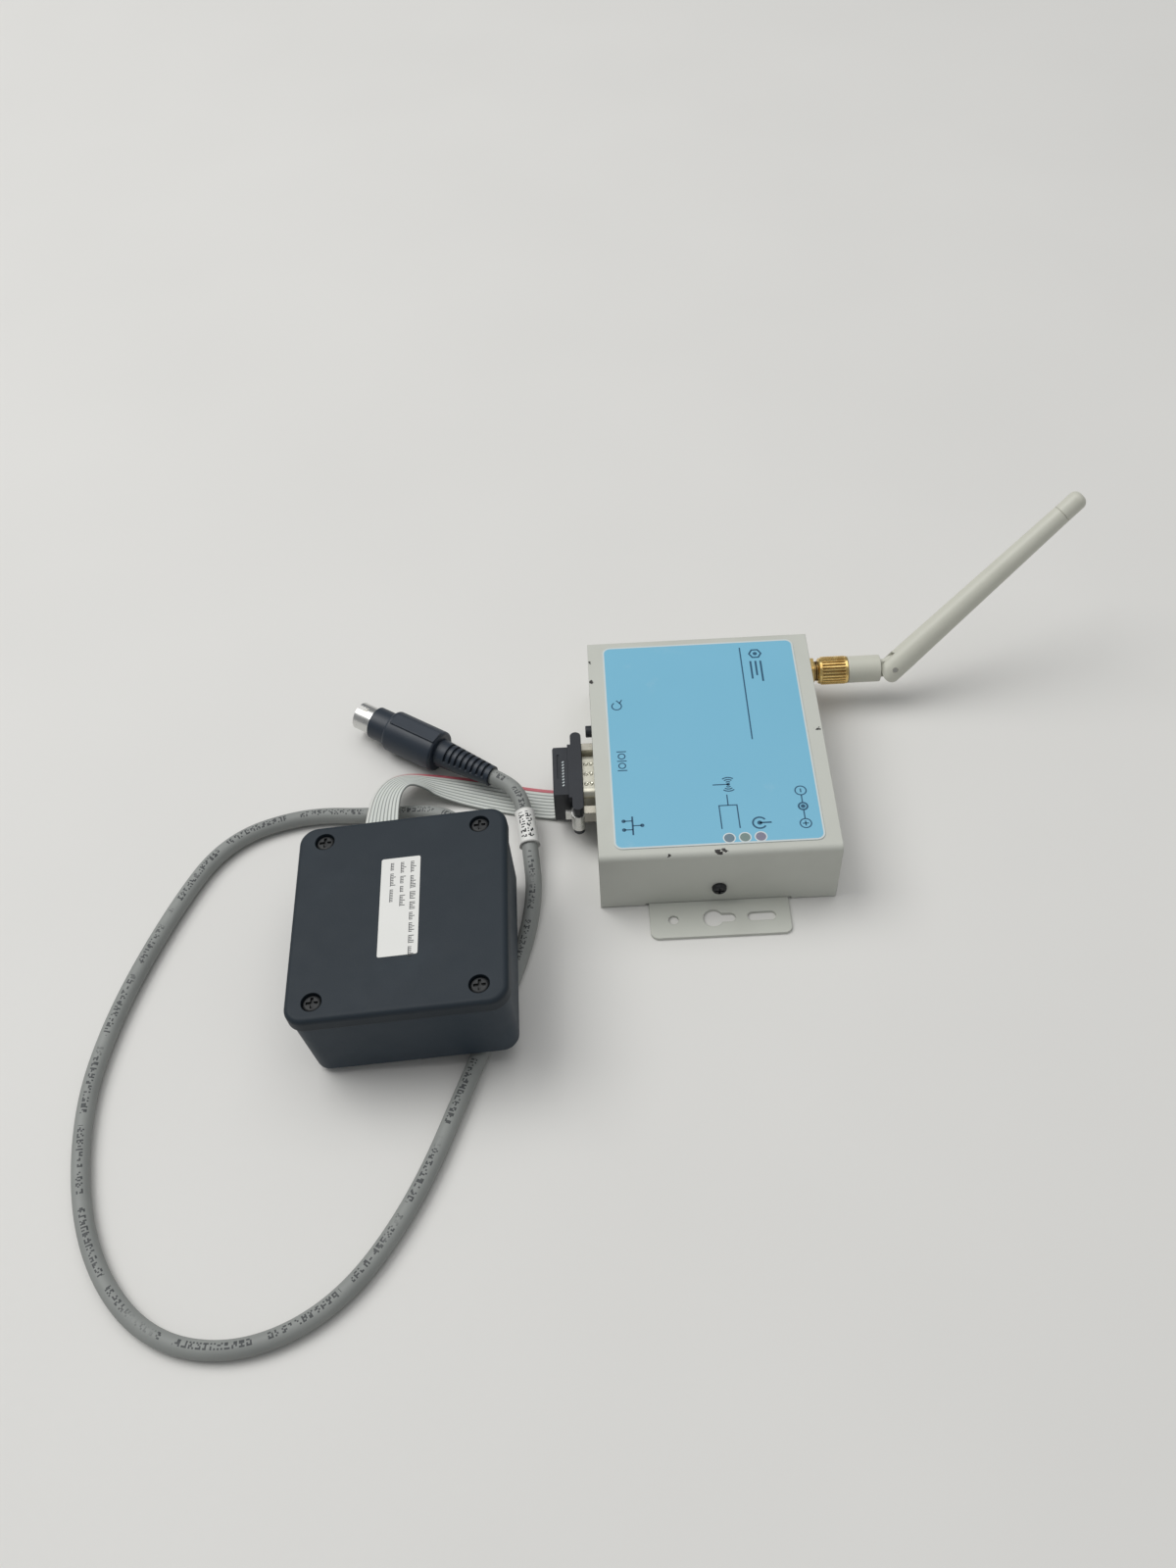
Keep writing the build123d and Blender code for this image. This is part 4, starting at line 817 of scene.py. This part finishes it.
# Antenna connector: gold-plated brass. A hexagonal nut with its washer holds the threaded barrel to the
# wall, and a knurled coupling nut screws over the barrel's end and turns freely on the antenna's ferrule.

def gilded(name, groove):
    """Gold plate over brass: warm, with brown smears, and dark brown where groove, given the finish, is 1:
    painted shade in the knurl's and thread's grooves, and a thin film of dirt on the plain parts.
    """
    gold = Finish(name)
    smears = gold.step(gold.noise(260, 4), 0.42, 0.72)
    bright = gold.mixed(gold.noise(90), shade(240, 202, 122), shade(252, 226, 160))
    # Painted shade: in the knurl and the thread this mask darkens the grooves to stand in for shade; on the
    # plain parts it is a thin film of dirt.
    dirt_and_painted_shade = groove(gold)
    return gold.surface(
        gold.mixed(dirt_and_painted_shade, gold.mixed(0.7 * smears, bright, shade(204, 158, 84)), shade(78, 50, 26)),
        0.17 + 0.16 * smears + 0.3 * dirt_and_painted_shade,
        relief=gold.noise(2200, 3) - 1.5 * dirt_and_painted_shade,
        depth=0.012 * mm,
        edge=0.12 * mm,
        Metallic=1.0,
    )


nut_low, nut_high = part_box("coupling_nut")
axis_y, axis_z = (nut_low.y + nut_high.y) / 2, (nut_low.z + nut_high.z) / 2
knurl_top = (nut_high.z - nut_low.z) / 2
thread_pitch = 0.7 * mm


def knurl_painted_shade(gold):
    """Painted shade below the knurl's tops, measured from the antenna's axis, so that it turns with the nut.
    """
    x, y, z = gold.axes()
    from_axis = ((y - axis_y) * (y - axis_y) + (z - axis_z) * (z - axis_z)).math("SQRT")
    on_knurl = (x > nut_low.x + 1.3 * mm) * (x < nut_high.x - 0.9 * mm)
    return on_knurl * (1 - gold.step(from_axis, knurl_top - 0.34 * mm, knurl_top - 0.1 * mm)) * 0.8


def thread_painted_shade(gold):
    """Painted shade on the thread between the bulkhead nut and the coupling nut, darkest in the thread's
    grooves.
    """
    x, _, _ = gold.axes()
    turns_of_thread = abs((x / thread_pitch).math("FRACT") - 0.5) * 2
    return (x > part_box("bulkhead_nut")[1].x) * (0.55 + 0.45 * gold.step(turns_of_thread, 0.2, 0.6))


def thin_film(gold):
    """A thin film of dirt all over, with no groove for it to gather in."""
    return gold.noise(30, 1) * 0.1


dress(gilded("gold_knurl", knurl_painted_shade), "coupling_nut")
dress(gilded("gold_thread", thread_painted_shade), "antenna_bulkhead")
dress(gilded("gold_plate", thin_film), "bulkhead_washer", "bulkhead_nut", "antenna_ferrule")


# Antenna: an off-white acetal sleeve, a hinge with a small steel pin, and a tapered tube with a separate
# round-ended cap. The plastic is satin, slightly warm, and a little grey from handling.

antenna_white = moulded(
    "antenna_white", shade(206, 206, 194), shade(192, 192, 180), 0.36, 0.015 * mm, 0.25 * mm)
dress(antenna_white, "antenna_sleeve", "radome", "radome_tip")
dress(tin, "hinge_pin")
coax_jacket = moulded("coax_jacket", shade(28, 28, 30), shade(48, 48, 50), 0.4, 0.01 * mm, 0)
dress(coax_jacket, "antenna_pigtail")


# Adapter box: a deep tray and a lid in dark blue-grey ABS with a fine spark-eroded grain. Four black
# cross-head screws sit in sunk holes, and a white paper label with rows of small print is stuck to the lid.

abs_grey = moulded("abs_blue_grey", shade(32, 41, 49), shade(44, 54, 62), 0.5, 0.03 * mm, 0.3 * mm, 0.3)
# Painted light: the tray is the lid's plastic painted lighter and bluer, so that its shaded sides come out
# brighter.
abs_tray_painted_light = moulded("abs_tray_painted_light", shade(36, 49, 60), shade(48, 62, 74), 0.48, 0.03 * mm, 0.3 * mm, 0.35)
dress(abs_grey, "box_lid")
dress(abs_tray_painted_light, "box_base")
dress(dark_screw, "lid_screws")

paper = Finish("label_paper")
paper.surface(
    paper.mixed(paper.noise(50, 4), shade(222, 222, 218), shade(234, 234, 231)),
    0.5 + 0.15 * paper.noise(200),
    relief=paper.noise(1400, 3),
    depth=0.02 * mm,
)
dress(paper, "box_label")
black_ink = printing_ink("black_ink", shade(40, 42, 46), shade(74, 76, 80), 0.45, 800)

label_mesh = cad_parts["box_label"].data
label_points = np.zeros(len(label_mesh.vertices) * 3)
label_mesh.vertices.foreach_get("co", label_points)
label_points = label_points.reshape(-1, 3)
label_middle = (label_points.max(0) + label_points.min(0)) / 2
label_axes = np.linalg.svd(label_points - label_points.mean(0), full_matrices=False)[2]
down_label = label_axes[0] * -np.sign(label_axes[0][1])
off_label = label_axes[2] * np.sign(label_axes[2][2])
across_label = np.cross(off_label, down_label)
label_frame = np.array([down_label, across_label, off_label])
label_half = np.abs((label_points - label_middle) @ label_frame.T).max(0) / mm
first_row, row_pitch = 2.1, 2.9
type_rng = np.random.default_rng(21)
small_print = []
for row, (start, end) in enumerate(((0.05, 0.95), (0.05, 0.44), (0.05, 0.4))):
    y = label_half[1] - first_row - row_pitch * row
    x = -label_half[0] + 2 * label_half[0] * start
    while x < -label_half[0] + 2 * label_half[0] * end:
        word = type_rng.uniform(2.0, 4.6)
        small_print += [bar(x + k, y - 0.55, x + k, y + type_rng.choice((0.35, 0.35, 0.95)), 0.24)
                        for k in np.arange(0.2, word, 0.56)]
        small_print.append(bar(x, y - 0.5, x + word, y - 0.5, 0.16))
        x += word + 1.0
printed("label_print", small_print, label_middle + off_label * label_half[2] * mm, label_frame, black_ink)


# Cord grommet and round plug: a soft black rubber grommet in the box wall, and at the cord's far end a plug
# of black vinyl moulded over a round tin-plated shell, with a ribbed strain relief, a spine and a thumb tab.

rubber = moulded("black_rubber", shade(24, 25, 27), shade(44, 45, 48), 0.5, 0.03 * mm, 0.2 * mm)
dress(rubber, "cord_grommet")
plug_vinyl = moulded("plug_vinyl", shade(30, 39, 50), shade(50, 61, 74), 0.38, 0.03 * mm, 0.35 * mm)
dress(plug_vinyl, "plug_body", "plug_strain_relief", "plug_insert")
plug_plate = plated("plug_shell_plate", shade(196, 196, 194), shade(226, 226, 224), 0.18, 0.1 * mm)
dress(plug_plate, "plug_shell")
